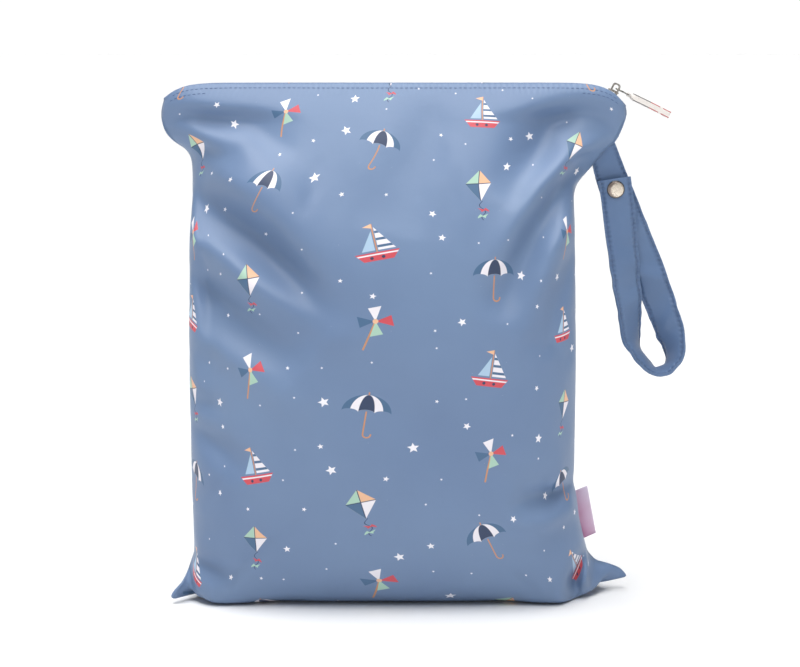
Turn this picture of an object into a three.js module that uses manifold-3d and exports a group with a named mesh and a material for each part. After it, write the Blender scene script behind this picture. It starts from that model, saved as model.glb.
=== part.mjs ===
// A waterproof zip bag of coated fabric, standing upright and full, with a snap wrist strap.
// Two panels are sewn together at the sides and the bottom. A coil zip closes the mouth between
// their top lips. The strap and a small label are caught in the right-hand seam.
// Millimetres, +Z up, the front faces -Y. The origin is the middle of the flat base on the floor.

import * as THREE from 'three';
import { mergeVertices } from 'three/addons/utils/BufferGeometryUtils.js';
import Module from 'manifold-3d';

const wasm = await Module();
wasm.setup();

// Driving sizes of the bag
const HEIGHT = 361; // floor to the lips of the mouth
const BODY_HALF = 132.3; // half the width of the full body between its side seams
const FRONT_DEPTH = 68; // deepest bulge in front of the seams
const BACK_DEPTH = 60; // deepest bulge behind the seams
const SEAM_SETBACK = 6; // the side seams lie this far behind the middle of the base
const WALL = 1.5; // coated fabric with its waterproof film
const SEAM_GAP = 0.3; // between the two panels where they are sewn together
const SEAM_WIDTH = 4; // width of the sewn edge, where the panels lie face to face
const CAVITY_HALF = 0.5; // half the hollow where it ends at the sewn edge
const LEFT_DROP = 12; // how far the mouth's left corner droops below its middle
const RIGHT_DROP = 16;
const DROOP_POWER = 16; // the higher, the closer to its corners the mouth stays level
const DROOP_FROM = 0.9; // share of the height above which the corners droop
const EAR_FORWARD = 38; // the lower left corner is pushed this far to the front

// Driving sizes of the zip
const LIP_RECESS = 3; // the zip's tapes lie this far below the lips
const TAPE_THICK = 0.9;
const FLANGE_DEPTH = 7; // the sewn part of each tape, down the inside of its panel
const SEWN_GAP = 0.35; // between a tape or a coil and what it lies on
const COIL_WIDTH = 4.2;
const COIL_HEIGHT = 1.6;
const ZIP_END_INSET = 9; // from the mouth's left end to the end of the zip
const SLIDER_INSET = 12; // from the mouth's right end to where the coil enters the slider
const SLIDER_LENGTH = 7.6;
const SLIDER_WIDTH = 6.4;
const SLIDER_PLATE = 1.2;
const BRIDGE_SPAN = 5.6;
const BRIDGE_RISE = 5.4;
const BRIDGE_BAR = 1.1;
const BRIDGE_WIDTH = 2.2;

// Driving sizes of the pull, which swings on the slider's bridge
const PULL_DROOP = 26; // degrees below level in which the pull points
const LINK_LENGTH = 9.4; // between the centres of the link's two cross bars
const LINK_WIRE = 0.55; // radius
const TAB_LENGTH = 36;
const TAB_WIDTH = 4.9;
const TAB_THICK = 1.6;
const EYE_WALL = 0.6; // thickness of the ribbon where it bends round the link
const NECK_WIDTH = 3; // width of the tab where it is gathered in the link
const NECK_LENGTH = 1.4; // from the link's outer bar to where the tab widens
const PULL_CLEARANCE = 0.4;
const LINK_HALF = NECK_WIDTH / 2 + PULL_CLEARANCE + LINK_WIRE; // to the middle of its wire

// Driving sizes of the wrist strap and its snap
const STRAP_DROP = 153; // from the middle of its sewn end to the foot of its loop
const STRAP_WIDTH = 22.4;
const STRAP_THICK = 2.2;
const STRAP_SEAT = 0.1363; // from the lips down to the middle of its sewn end, as a share of HEIGHT
const STRAP_STEPS = 54;
const SNAP_RADIUS = 6.2;
const SNAP_RISE = 1.7;
const SNAP_SEAT = 0.35; // between the snap's parts and the strap
const SOCKET_RADIUS = 5;
const SOCKET_HEIGHT = 1.8;
const STUD_RADIUS = 1.8;
const STUD_CLEARANCE = 0.4;

// Driving sizes of the folded label
const LABEL_HEIGHT = 33;
const LABEL_REACH = 9.5;
const LABEL_THICK = 1.2;
const LABEL_CENTRE = 0.169; // share of the bag's height

// Sections of the bag from the base to the lips. Heights are shares of HEIGHT, the seams' places
// are shares of BODY_HALF, and the bulges are shares of FRONT_DEPTH and BACK_DEPTH. A low pinch
// gives a blunt side, a high one a flat corner. A high squareness keeps the lips parallel.
const SECTIONS = [
  { up: 0.0, left: -1.07, right: 1.11, front: 0.58, back: 0.53, pinch: 0.85, square: 2.4 },
  { up: 0.012, left: -1.12, right: 1.19, front: 0.7, back: 0.66, pinch: 1.05, square: 2.3 },
  { up: 0.03, left: -1.09, right: 1.275, front: 0.81, back: 0.78, pinch: 1.25, square: 2.2 },
  { up: 0.046, left: -1.045, right: 1.325, front: 0.87, back: 0.85, pinch: 1.25, square: 2.2 },
  { up: 0.062, left: -1.025, right: 1.27, front: 0.9, back: 0.88, pinch: 1.1, square: 2.2 },
  { up: 0.076, left: -1.01, right: 1.13, front: 0.92, back: 0.91, pinch: 0.85, square: 2.2 },
  { up: 0.1, left: -1.0, right: 1.083, front: 0.94, back: 0.94, pinch: 0.68, square: 2.2 },
  { up: 0.14, left: -1.0, right: 1.06, front: 0.97, back: 0.97, pinch: 0.6, square: 2.2 },
  { up: 0.2, left: -1.0, right: 1.012, front: 0.99, back: 0.99, pinch: 0.53, square: 2.2 },
  { up: 0.35, left: -1.0, right: 1.0, front: 1.0, back: 1.0, pinch: 0.5, square: 2.2 },
  { up: 0.5, left: -1.0, right: 1.0, front: 0.965, back: 0.97, pinch: 0.5, square: 2.2 },
  { up: 0.65, left: -1.0, right: 1.0, front: 0.86, back: 0.87, pinch: 0.5, square: 2.2 },
  { up: 0.79, left: -1.0, right: 1.005, front: 0.66, back: 0.67, pinch: 0.54, square: 2.2 },
  { up: 0.815, left: -1.0, right: 1.038, front: 0.61, back: 0.62, pinch: 0.6, square: 2.2 },
  { up: 0.84, left: -1.0, right: 1.1, front: 0.56, back: 0.57, pinch: 0.7, square: 2.2 },
  { up: 0.863, left: -1.01, right: 1.157, front: 0.5, back: 0.51, pinch: 0.85, square: 2.2 },
  { up: 0.875, left: -1.043, right: 1.187, front: 0.47, back: 0.48, pinch: 0.92, square: 2.2 },
  { up: 0.888, left: -1.1, right: 1.223, front: 0.43, back: 0.44, pinch: 1.0, square: 2.2 },
  { up: 0.906, left: -1.145, right: 1.247, front: 0.375, back: 0.38, pinch: 1.05, square: 2.3 },
  { up: 0.93, left: -1.16, right: 1.266, front: 0.3, back: 0.31, pinch: 1.0, square: 2.6 },
  { up: 0.95, left: -1.163, right: 1.276, front: 0.235, back: 0.245, pinch: 0.85, square: 3.4 },
  { up: 0.975, left: -1.153, right: 1.286, front: 0.15, back: 0.16, pinch: 0.6, square: 7 },
  { up: 1.0, left: -1.138, right: 1.27, front: 0.067, back: 0.076, pinch: 0.35, square: 24 },
];

// Folds pressed into the panels. Each runs from one point to another, and stands out (+) or sinks
// in (-) by its rise. Across is a share of BODY_HALF and up a share of HEIGHT. The width is a
// share of BODY_HALF and the rise is a share of the panel's depth.
const FOLDS = [
  { panel: 'front', across: -1.05, up: 0.9, toAcross: -0.2, toUp: 0.56, width: 0.12, rise: 0.15 },
  { panel: 'front', across: -0.93, up: 0.76, toAcross: -0.3, toUp: 0.54, width: 0.12, rise: -0.15 },
  { panel: 'front', across: -0.96, up: 0.66, toAcross: -0.25, toUp: 0.46, width: 0.09, rise: 0.08 },
  { panel: 'front', across: -0.92, up: 0.53, toAcross: -0.35, toUp: 0.37, width: 0.09, rise: -0.06 },
  { panel: 'front', across: -0.98, up: 0.95, toAcross: -0.45, toUp: 0.87, width: 0.1, rise: -0.09 },
  { panel: 'front', across: 1.12, up: 0.88, toAcross: 0.5, toUp: 0.52, width: 0.14, rise: 0.16 },
  { panel: 'front', across: 0.99, up: 0.76, toAcross: 0.72, toUp: 0.5, width: 0.13, rise: -0.14 },
  { panel: 'front', across: 1.18, up: 0.935, toAcross: 0.78, toUp: 0.9, width: 0.12, rise: -0.11 },
  { panel: 'front', across: 0.98, up: 0.19, toAcross: 0.72, toUp: 0.15, width: 0.07, rise: -0.08 },
  { panel: 'front', across: 1.07, up: 0.09, toAcross: 0.88, toUp: 0.03, width: 0.07, rise: -0.14 },
  { panel: 'front', across: -0.99, up: 0.06, toAcross: -0.7, toUp: 0.11, width: 0.08, rise: -0.08 },
  { panel: 'back', across: -1.05, up: 0.89, toAcross: -0.35, toUp: 0.6, width: 0.13, rise: 0.13 },
  { panel: 'back', across: -0.92, up: 0.72, toAcross: -0.45, toUp: 0.55, width: 0.12, rise: -0.12 },
  { panel: 'back', across: 1.1, up: 0.88, toAcross: 0.35, toUp: 0.58, width: 0.13, rise: 0.13 },
  { panel: 'back', across: 0.95, up: 0.7, toAcross: 0.5, toUp: 0.55, width: 0.12, rise: -0.11 },
  { panel: 'back', across: -0.95, up: 0.1, toAcross: -0.65, toUp: 0.2, width: 0.09, rise: -0.08 },
  { panel: 'back', across: 1.0, up: 0.1, toAcross: 0.7, toUp: 0.22, width: 0.09, rise: -0.09 },
];

// The strap's centre line from its sewn end, down its rear leg, round its foot and up its front
// leg to the snap. Across and down are shares of STRAP_DROP, and back is a share of STRAP_WIDTH,
// behind the seam (+) or in front of it (-). Tilt turns its outer edge to the front, in degrees,
// and skew turns its sewn end along the slanting seam.
const STRAP_ROUTE = [
  { across: 0.0, down: 0.0, back: 0.0, tilt: 0, skew: 27 },
  { across: 0.039, down: 0.113, back: 0.071, tilt: 0, skew: 14 },
  { across: 0.088, down: 0.234, back: 0.071, tilt: 0, skew: 0 },
  { across: 0.15, down: 0.377, back: 0.11, tilt: 0, skew: 0 },
  { across: 0.206, down: 0.512, back: 0.15, tilt: 4, skew: 0 },
  { across: 0.255, down: 0.646, back: 0.18, tilt: 10, skew: 0 },
  { across: 0.303, down: 0.771, back: 0.18, tilt: 29, skew: 0 },
  { across: 0.327, down: 0.844, back: 0.14, tilt: 44, skew: 0 },
  { across: 0.336, down: 0.924, back: 0.09, tilt: 64, skew: 0 },
  { across: 0.315, down: 0.977, back: 0.04, tilt: 80, skew: 0 },
  { across: 0.272, down: 1.0, back: 0.0, tilt: 90, skew: 0 },
  { across: 0.236, down: 0.985, back: -0.02, tilt: 82, skew: 0 },
  { across: 0.2, down: 0.947, back: -0.04, tilt: 76, skew: 0 },
  { across: 0.162, down: 0.895, back: -0.07, tilt: 66, skew: 0 },
  { across: 0.136, down: 0.808, back: -0.13, tilt: 50, skew: 0 },
  { across: 0.118, down: 0.673, back: -0.22, tilt: 34, skew: 0 },
  { across: 0.101, down: 0.54, back: -0.25, tilt: 27, skew: 0 },
  { across: 0.081, down: 0.373, back: -0.23, tilt: 12, skew: 0 },
  { across: 0.063, down: 0.229, back: -0.2, tilt: 0, skew: 0 },
  { across: 0.044, down: 0.106, back: -0.2, tilt: 0, skew: 0 },
];
const SNAP_DOWN = 0.153; // the snap's middle, as a share of STRAP_DROP below the sewn end

const ACROSS_STEPS = 24;
const BASE_HALF_EDGE = SEAM_GAP / 2 + WALL;

// Value of one column of a table at a height between its rows, on a smooth curve through them
function column(table, key, at, by) {
  let i = 0;
  while (i < table.length - 2 && at > table[i + 1][key]) i += 1;
  const rows = [table[Math.max(i - 1, 0)], table[i], table[i + 1], table[Math.min(i + 2, table.length - 1)]];
  const span = rows[2][key] - rows[1][key];
  const t = (at - rows[1][key]) / span;
  const slope = (a, b) => (b[key] === a[key] ? 0 : ((b[by] - a[by]) / (b[key] - a[key])) * span);
  const limit = (m) => {
    const rise = rows[2][by] - rows[1][by];
    return m * rise <= 0 ? 0 : Math.sign(m) * Math.min(Math.abs(m), 3 * Math.abs(rise));
  };
  const m1 = limit(slope(rows[0], rows[2]));
  const m2 = limit(slope(rows[1], rows[3]));
  const t2 = t * t;
  const t3 = t2 * t;
  return (2 * t3 - 3 * t2 + 1) * rows[1][by] + (t3 - 2 * t2 + t) * m1
    + (3 * t2 - 2 * t3) * rows[2][by] + (t3 - t2) * m2;
}

const smooth = (t) => {
  const c = Math.min(Math.max(t, 0), 1);
  return c * c * (3 - 2 * c);
};

// Sum of the folds of one panel at a place on it, as a share of the panel's depth
function foldRise(panel, x, z) {
  let rise = 0;
  for (const fold of FOLDS) {
    if (fold.panel !== panel) continue;
    const start = [fold.across * BODY_HALF, fold.up * HEIGHT];
    const end = [fold.toAcross * BODY_HALF, fold.toUp * HEIGHT];
    const run = [end[0] - start[0], end[1] - start[1]];
    const length = Math.hypot(run[0], run[1]);
    const along = ((x - start[0]) * run[0] + (z - start[1]) * run[1]) / length;
    const aside = ((x - start[0]) * run[1] - (z - start[1]) * run[0]) / length;
    const width = fold.width * BODY_HALF;
    const taper = smooth((along + width) / (2 * width)) * smooth((length + width - along) / (3 * width));
    rise += fold.rise * taper * Math.exp(-((aside / width) ** 2));
  }
  return rise;
}

// The seam's place at a height: the middle of the section and half its width
function seamSpan(up) {
  const left = column(SECTIONS, 'up', up, 'left') * BODY_HALF;
  const right = column(SECTIONS, 'up', up, 'right') * BODY_HALF;
  return { middle: (left + right) / 2, half: (right - left) / 2 };
}

function droop(u, up) {
  const drop = u < 0 ? LEFT_DROP : RIGHT_DROP;
  const share = Math.max(up - DROOP_FROM, 0) / (1 - DROOP_FROM);
  return drop * share ** 1.3 * Math.abs(u) ** DROOP_POWER;
}

// How far the outside of a panel stands off the seams' plane
function outerHalf(panel, u, up) {
  const depth = panel === 'front' ? FRONT_DEPTH : BACK_DEPTH;
  const bulge = column(SECTIONS, 'up', up, panel);
  const square = column(SECTIONS, 'up', up, 'square');
  const pinch = column(SECTIONS, 'up', up, 'pinch');
  const span = seamSpan(up);
  const shape = Math.max(1 - Math.abs(u) ** square, 0) ** pinch;
  const fade = smooth((1 - Math.abs(u)) / 0.16) * smooth((0.985 - up) / 0.05) * smooth((up - 0.004) / 0.04);
  const fold = foldRise(panel, span.middle + u * span.half, up * HEIGHT) * fade;
  return BASE_HALF_EDGE + Math.max(depth * (bulge * shape + fold), 0);
}

// A point on the outside of a panel. u runs from -1 at the left seam to 1 at the right seam.
function outerPoint(panel, u, up) {
  const span = seamSpan(up);
  const side = panel === 'front' ? -1 : 1;
  const z = up * HEIGHT - droop(u, up);
  return [span.middle + u * span.half, side * outerHalf(panel, u, up), z];
}

// A point on the inside of a panel, one wall's thickness in from the outside
function innerPoint(panel, share, up) {
  const span = seamSpan(up);
  const x = span.middle + share * (span.half - SEAM_WIDTH * share ** 8);
  const u = (x - span.middle) / span.half;
  const step = 0.004;
  const here = outerHalf(panel, u, up);
  const upper = Math.min(up + step, 1);
  const lower = Math.max(up - step, 0);
  const slopeX = (outerHalf(panel, u + step, up) - outerHalf(panel, u - step, up)) / (2 * step * span.half);
  const slopeZ = (outerHalf(panel, u, upper) - outerHalf(panel, u, lower)) / ((upper - lower) * HEIGHT);
  const slant = Math.sqrt(1 + Math.min(slopeX ** 2, 6) + Math.min(slopeZ ** 2, 2));
  const side = panel === 'front' ? -1 : 1;
  const half = Math.max(here - WALL * slant, CAVITY_HALF);
  return [x, side * half, Math.max(up * HEIGHT - droop(share, up), WALL)];
}

// Pushes the lower left corner to the front. Both panels and both faces move alike.
function settle([x, y, z]) {
  const across = smooth((-x / BODY_HALF - 0.62) / 0.5);
  const low = smooth(1 - z / (0.17 * HEIGHT));
  return [x, y - EAR_FORWARD * across * low, z];
}

// Mesh helpers
function toGeometry(points, triangles) {
  const geometry = new THREE.BufferGeometry();
  geometry.setAttribute('position', new THREE.Float32BufferAttribute(points.flat(), 3));
  geometry.setIndex(triangles.flat());
  geometry.computeVertexNormals();
  return geometry;
}

function quad(a, b, c, d) {
  return [[a, b, c], [a, c, d]];
}

// Joins the corners that coincide and drops the triangles that this closes
function welded(geometry) {
  const bare = geometry.clone();
  bare.deleteAttribute('normal');
  bare.deleteAttribute('uv');
  const merged = mergeVertices(bare, 1e-4);
  const place = merged.attributes.position;
  const points = Array.from({ length: place.count }, (_, i) => [place.getX(i), place.getY(i), place.getZ(i)]);
  const triangles = [];
  for (let i = 0; i < merged.index.count; i += 3) {
    const [a, b, c] = [0, 1, 2].map((k) => merged.index.getX(i + k));
    if (a !== b && b !== c && a !== c) triangles.push([a, b, c]);
  }
  return { points, triangles: outward(points, triangles) };
}

function toSolid(geometry) {
  const { points, triangles } = welded(geometry);
  const vertProperties = new Float32Array(points.flat());
  const triVerts = new Uint32Array(triangles.flat());
  return new wasm.Manifold(new wasm.Mesh({ numProp: 3, vertProperties, triVerts }));
}

function fromSolid(solid) {
  const mesh = solid.getMesh();
  const geometry = new THREE.BufferGeometry();
  geometry.setAttribute('position', new THREE.Float32BufferAttribute(mesh.vertProperties, 3));
  geometry.setIndex(Array.from(mesh.triVerts));
  geometry.computeVertexNormals();
  return geometry;
}

// Turns a closed mesh the right way out
function outward(points, triangles) {
  let volume = 0;
  for (const [a, b, c] of triangles) {
    const [p, q, r] = [points[a], points[b], points[c]];
    volume += p[0] * (q[1] * r[2] - q[2] * r[1]) - p[1] * (q[0] * r[2] - q[2] * r[0])
      + p[2] * (q[0] * r[1] - q[1] * r[0]);
  }
  return volume < 0 ? triangles.map(([a, b, c]) => [a, c, b]) : triangles;
}

// A solid through a row of sections with like corners, with a flat cap at each end. The flat
// outline tells how to fill a cap.
function loft(sections, outline) {
  const n = outline.length;
  const points = sections.flat();
  const triangles = [];
  for (let i = 0; i < sections.length - 1; i += 1) {
    for (let j = 0; j < n; j += 1) {
      const k = (j + 1) % n;
      triangles.push(...quad(i * n + j, i * n + k, (i + 1) * n + k, (i + 1) * n + j));
    }
  }
  const corners = outline.map(([x, y]) => new THREE.Vector2(x, y));
  const last = (sections.length - 1) * n;
  for (const [a, b, c] of THREE.ShapeUtils.triangulateShape(corners, [])) {
    const cap = THREE.ShapeUtils.area(corners) > 0 ? [a, c, b] : [a, b, c];
    triangles.push(cap, cap.map((v) => v + last).reverse());
  }
  return toGeometry(points, outward(points, triangles));
}

// Heights of the rows of the panels' mesh: those of the table, and some between them
function panelHeights() {
  const heights = [0];
  for (let i = 1; i < SECTIONS.length; i += 1) {
    const [low, high] = [SECTIONS[i - 1].up, SECTIONS[i].up];
    const steps = Math.max(1, Math.round((high - low) / 0.036));
    for (let k = 1; k <= steps; k += 1) heights.push(low + ((high - low) * k) / steps);
  }
  return heights;
}

// Places of the columns of that mesh from seam to seam, closer together near the seams
function columnShares() {
  return Array.from({ length: ACROSS_STEPS + 1 }, (_, j) => Math.sin((j / ACROSS_STEPS - 0.5) * Math.PI));
}

// One panel as a closed shell. Each row is a loop: the outside, the sewn edge and the inside.
function panelGeometry(panel) {
  const n = ACROSS_STEPS;
  const heights = panelHeights();
  const shares = columnShares();
  const join = ([x, , z]) => [x, ((panel === 'front' ? -1 : 1) * SEAM_GAP) / 2, z];
  const points = [];
  for (const up of heights) {
    const outside = shares.map((share) => outerPoint(panel, share, up));
    const inside = shares.map((share) => innerPoint(panel, share, up)).reverse();
    points.push(...outside, join(outside[n]), join(inside[0]), ...inside, join(inside[n]), join(outside[0]));
  }
  const ring = 2 * n + 6;
  const outer = (j) => j;
  const inner = (j) => 2 * n + 3 - j;
  const triangles = [];
  for (let i = 0; i < heights.length - 1; i += 1) {
    for (let j = 0; j < ring; j += 1) {
      const k = (j + 1) % ring;
      const corners = [i * ring + j, i * ring + k, (i + 1) * ring + k, (i + 1) * ring + j];
      // The faces are split along the folds, which run down from each upper corner
      const leftOutside = j < n / 2;
      const rightInside = j >= n + 3 && j < n + 3 + n / 2;
      const turned = leftOutside || rightInside;
      triangles.push(...quad(...(turned ? [...corners.slice(1), corners[0]] : corners)));
    }
  }
  // The lip's narrow top face
  const top = (heights.length - 1) * ring;
  for (let j = 0; j < n; j += 1) {
    triangles.push(...quad(...[outer(j + 1), outer(j), inner(j), inner(j + 1)].map((v) => top + v).reverse()));
  }
  triangles.push(...quad(top + n, top + n + 1, top + n + 2, top + n + 3));
  triangles.push(...quad(top + ring - 1, top, top + inner(0), top + ring - 2));
  // The floor of the panel, from its outer edge to the bottom seam
  const seamLow = [...shares.keys()].map((j) => {
    if (j === 0) return ring - 1;
    return j === n ? n + 1 : points.push(join(points[outer(j)])) - 1;
  });
  const seamHigh = [...shares.keys()].map((j) => {
    if (j === 0) return ring - 2;
    return j === n ? n + 2 : points.push(join(points[inner(j)])) - 1;
  });
  for (let j = 0; j < n; j += 1) {
    triangles.push(
      ...quad(outer(j + 1), outer(j), seamLow[j], seamLow[j + 1]),
      ...quad(inner(j), inner(j + 1), seamHigh[j + 1], seamHigh[j]),
      ...quad(seamLow[j + 1], seamLow[j], seamHigh[j], seamHigh[j + 1]),
    );
  }
  return toGeometry(points.map(settle), outward(points, triangles));
}

// The zip's line along the mouth, on the seams' plane
const MOUTH = seamSpan(1);
const mouthShare = (x) => (x - MOUTH.middle) / MOUTH.half;
const lipHeight = (x) => HEIGHT - droop(mouthShare(x), 1);
const ZIP_START = MOUTH.middle - MOUTH.half + ZIP_END_INSET;
const SLIDER_ENTRY = MOUTH.middle + MOUTH.half - SLIDER_INSET;
const zipHeight = (x) => lipHeight(x) - LIP_RECESS;
const ZIP_SLOPE = Math.atan2(zipHeight(SLIDER_ENTRY - 0.5) - zipHeight(SLIDER_ENTRY + 0.5), 1);
const ZIP_OVERLAP = 1; // length of coil and tape inside the slider, past its entry
const ZIP_STEPS = 26;

function zipStations() {
  const end = SLIDER_ENTRY + ZIP_OVERLAP * Math.cos(ZIP_SLOPE);
  const middle = (ZIP_START + end) / 2;
  const half = (end - ZIP_START) / 2;
  return Array.from({ length: ZIP_STEPS + 1 }, (_, i) => middle + half * Math.sin((i / ZIP_STEPS - 0.5) * Math.PI));
}

// Distance from the seams' plane to the flat faces inside a panel, at a place beside the zip
function roomHalf(panel, x, z) {
  let up = z / HEIGHT;
  let share = 0;
  for (let i = 0; i < 12; i += 1) {
    const span = seamSpan(up);
    share = (x - span.middle) / (span.half - SEAM_WIDTH * share ** 8);
    up = Math.min((z + droop(share, up)) / HEIGHT, 1);
  }
  const heights = panelHeights();
  const row = Math.max(heights.findIndex((h) => h >= up), 1);
  const [low, high] = [heights[row - 1], heights[row]].map((level) => {
    const line = columnShares().map((share) => innerPoint(panel, share, level));
    const next = Math.max(line.findIndex((point) => point[0] >= x), 1);
    const [a, b] = [line[next - 1], line[next]];
    return Math.abs(a[1] + ((b[1] - a[1]) * (x - a[0])) / (b[0] - a[0]));
  });
  return low + ((high - low) * (up - heights[row - 1])) / (heights[row] - heights[row - 1]);
}

// A tape runs level from beside the coil to its panel, then down the inside of the panel
function tapeGeometry(panel) {
  const side = panel === 'front' ? -1 : 1;
  const half = TAPE_THICK / 2;
  const section = (x) => {
    const z = zipHeight(x);
    const wide = roomHalf(panel, x, z + half) - SEWN_GAP;
    const low = roomHalf(panel, x, z - FLANGE_DEPTH) - SEWN_GAP;
    const inner = SEAM_GAP / 2;
    return [
      [x, side * inner, z + half], [x, side * wide, z + half], [x, side * low, z - FLANGE_DEPTH],
      [x, side * (low - TAPE_THICK), z - FLANGE_DEPTH], [x, side * (wide - TAPE_THICK), z - half],
      [x, side * inner, z - half],
    ];
  };
  const sections = zipStations().map(section);
  const outline = section(MOUTH.middle).map(([, y, z]) => [y, z]);
  return loft(sections, outline);
}

function coilGeometry() {
  const base = TAPE_THICK / 2 + SEWN_GAP;
  const outline = [
    [-0.5, 0], [0.5, 0], [0.5, 0.55], [0.3, 1], [-0.3, 1], [-0.5, 0.55],
  ].map(([y, z]) => [y * COIL_WIDTH, base + z * COIL_HEIGHT]);
  const sections = zipStations().map((x) => outline.map(([y, z]) => [x, y, zipHeight(x) + z]));
  return loft(sections, outline);
}

// Heights of the slider's faces above the tapes' middle
const PLATE_UNDER = TAPE_THICK / 2 + SEWN_GAP + COIL_HEIGHT + SEWN_GAP;
const PLATE_TOP = PLATE_UNDER + SLIDER_PLATE;
const KEEL_TOP = -TAPE_THICK / 2 - SEWN_GAP;
const SLIDER_BACK = 1.6; // length of the slider before the zip's entry point
const POST_LENGTH = 1.9;
const PIVOT = { along: 3.1, above: PLATE_TOP + BRIDGE_BAR / 2 + 1.25 };

// Outline of a plate seen from above, narrower at its nose
function plateShape() {
  const [start, end, half] = [-SLIDER_BACK, SLIDER_LENGTH - SLIDER_BACK, SLIDER_WIDTH / 2];
  const shape = new THREE.Shape();
  shape.moveTo(start, -half);
  shape.lineTo(end - half * 0.6, -half);
  shape.quadraticCurveTo(end, -half * 0.9, end, 0);
  shape.quadraticCurveTo(end, half * 0.9, end - half * 0.6, half);
  shape.lineTo(start, half);
  return shape;
}

// The bridge seen from the side: a bent bar with both feet on the top plate
function bridgeShape() {
  const left = PIVOT.along + LINK_WIRE + PULL_CLEARANCE + BRIDGE_BAR - BRIDGE_SPAN;
  const [right, foot, top] = [left + BRIDGE_SPAN, PLATE_TOP - 0.3, PLATE_TOP + BRIDGE_RISE];
  const bend = BRIDGE_SPAN * 0.42;
  const arch = (path, l, r, f, t, b) => {
    path.moveTo(r, f);
    path.lineTo(r, t - b);
    path.quadraticCurveTo(r, t, r - b, t);
    path.lineTo(l + b, t);
    path.quadraticCurveTo(l, t, l, t - b);
    path.lineTo(l, f);
    return path;
  };
  const shape = arch(new THREE.Shape(), left, right, foot, top, bend);
  const bar = BRIDGE_BAR;
  const hollow = arch(new THREE.Path(), left + bar, right - bar, PLATE_TOP + 0.35, top - bar, bend - bar * 0.6);
  shape.holes.push(hollow);
  return shape;
}

function sliderGeometry() {
  const plate = (low, high) => {
    const g = new THREE.ExtrudeGeometry(plateShape(), { depth: high - low, bevelEnabled: false, curveSegments: 4 });
    g.translate(0, 0, low);
    return g;
  };
  const post = new THREE.BoxGeometry(POST_LENGTH, SLIDER_WIDTH * 0.5, PLATE_UNDER - KEEL_TOP + SLIDER_PLATE);
  const postMiddle = SLIDER_LENGTH - SLIDER_BACK - POST_LENGTH / 2 - 0.8;
  post.translate(postMiddle, 0, (PLATE_UNDER + KEEL_TOP) / 2);
  const bridge = new THREE.ExtrudeGeometry(bridgeShape(), { depth: BRIDGE_WIDTH, bevelEnabled: false, curveSegments: 5 });
  bridge.rotateX(Math.PI / 2);
  bridge.translate(0, BRIDGE_WIDTH / 2, 0);
  const pieces = [plate(PLATE_UNDER, PLATE_TOP), plate(KEEL_TOP - SLIDER_PLATE, KEEL_TOP), post, bridge];
  return fromSolid(pieces.map(toSolid).reduce((all, piece) => all.add(piece)));
}

// The pull's parts lie along their own +X from the pivot, with the pivot's axis along Y.
// The link is a loop of wire with round corners, whose ends close on each other.
function linkGeometry() {
  const [corner, bend, sides] = [1.3, 4, 8];
  const path = [];
  const middles = [
    [LINK_LENGTH - corner, LINK_HALF - corner], [corner, LINK_HALF - corner],
    [corner, corner - LINK_HALF], [LINK_LENGTH - corner, corner - LINK_HALF],
  ];
  middles.forEach(([x, y], quarter) => {
    for (let k = 0; k <= bend; k += 1) {
      const angle = ((quarter + k / bend) * Math.PI) / 2;
      path.push(new THREE.Vector3(x + corner * Math.cos(angle), y + corner * Math.sin(angle), 0));
    }
  });
  const points = [];
  const triangles = [];
  path.forEach((centre, i) => {
    const before = path[(i + path.length - 1) % path.length];
    const after = path[(i + 1) % path.length];
    const ahead = after.clone().sub(before).normalize();
    for (let k = 0; k < sides; k += 1) {
      const angle = ((k + 0.5) / sides) * 2 * Math.PI;
      const out = LINK_WIRE * Math.cos(angle);
      points.push([centre.x + ahead.y * out, centre.y - ahead.x * out, LINK_WIRE * Math.sin(angle)]);
      const [j, m] = [(i + 1) % path.length, (k + 1) % sides];
      triangles.push(...quad(i * sides + k, i * sides + m, j * sides + m, j * sides + k));
    }
  });
  return toGeometry(points, outward(points, triangles));
}

// A stiff ribbon, folded double round the link's outer bar and gathered there
function tabGeometry() {
  const [half, neck, flat] = [TAB_WIDTH / 2, NECK_WIDTH / 2, TAB_THICK / 2];
  const bore = LINK_WIRE + PULL_CLEARANCE;
  const eye = bore + EYE_WALL;
  const [start, end] = [LINK_LENGTH - eye - 1, LINK_LENGTH - eye + TAB_LENGTH];
  const shoulder = LINK_LENGTH + LINK_WIRE + NECK_LENGTH;
  const plan = new THREE.Shape([
    [start, -neck], [shoulder, -neck], [shoulder + 1.5, -half], [end - 0.8, -half], [end, 0.8 - half],
    [end, half - 0.8], [end - 0.8, half], [shoulder + 1.5, half], [shoulder, neck], [start, neck],
  ].map(([x, y]) => new THREE.Vector2(x, y)));
  const meet = Math.asin(flat / eye);
  const side = new THREE.Shape();
  side.moveTo(end, -flat);
  side.lineTo(end, flat);
  side.absarc(LINK_LENGTH, 0, eye, meet, 2 * Math.PI - meet, false);
  const hole = new THREE.Path();
  hole.absarc(LINK_LENGTH, 0, bore, 0, 2 * Math.PI, true);
  side.holes.push(hole);
  const flatPart = new THREE.ExtrudeGeometry(plan, { depth: 4 * eye, bevelEnabled: false });
  flatPart.translate(0, 0, -2 * eye);
  const sidePart = new THREE.ExtrudeGeometry(side, { depth: 2 * TAB_WIDTH, bevelEnabled: false, curveSegments: 10 });
  sidePart.rotateX(Math.PI / 2);
  sidePart.translate(0, TAB_WIDTH, 0);
  return fromSolid(toSolid(flatPart).intersect(toSolid(sidePart)));
}

// The right-hand seam's outline, and the middle of the stretch where the strap is sewn in
const seamRight = (up) => outerPoint('front', 1, up);
const STRAP_UP = 1 - STRAP_SEAT;
const SEAM_CLEARANCE = 0.4;

function sewnPoint() {
  const [x, , z] = seamRight(STRAP_UP);
  return new THREE.Vector3(x, 0, z);
}

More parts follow.
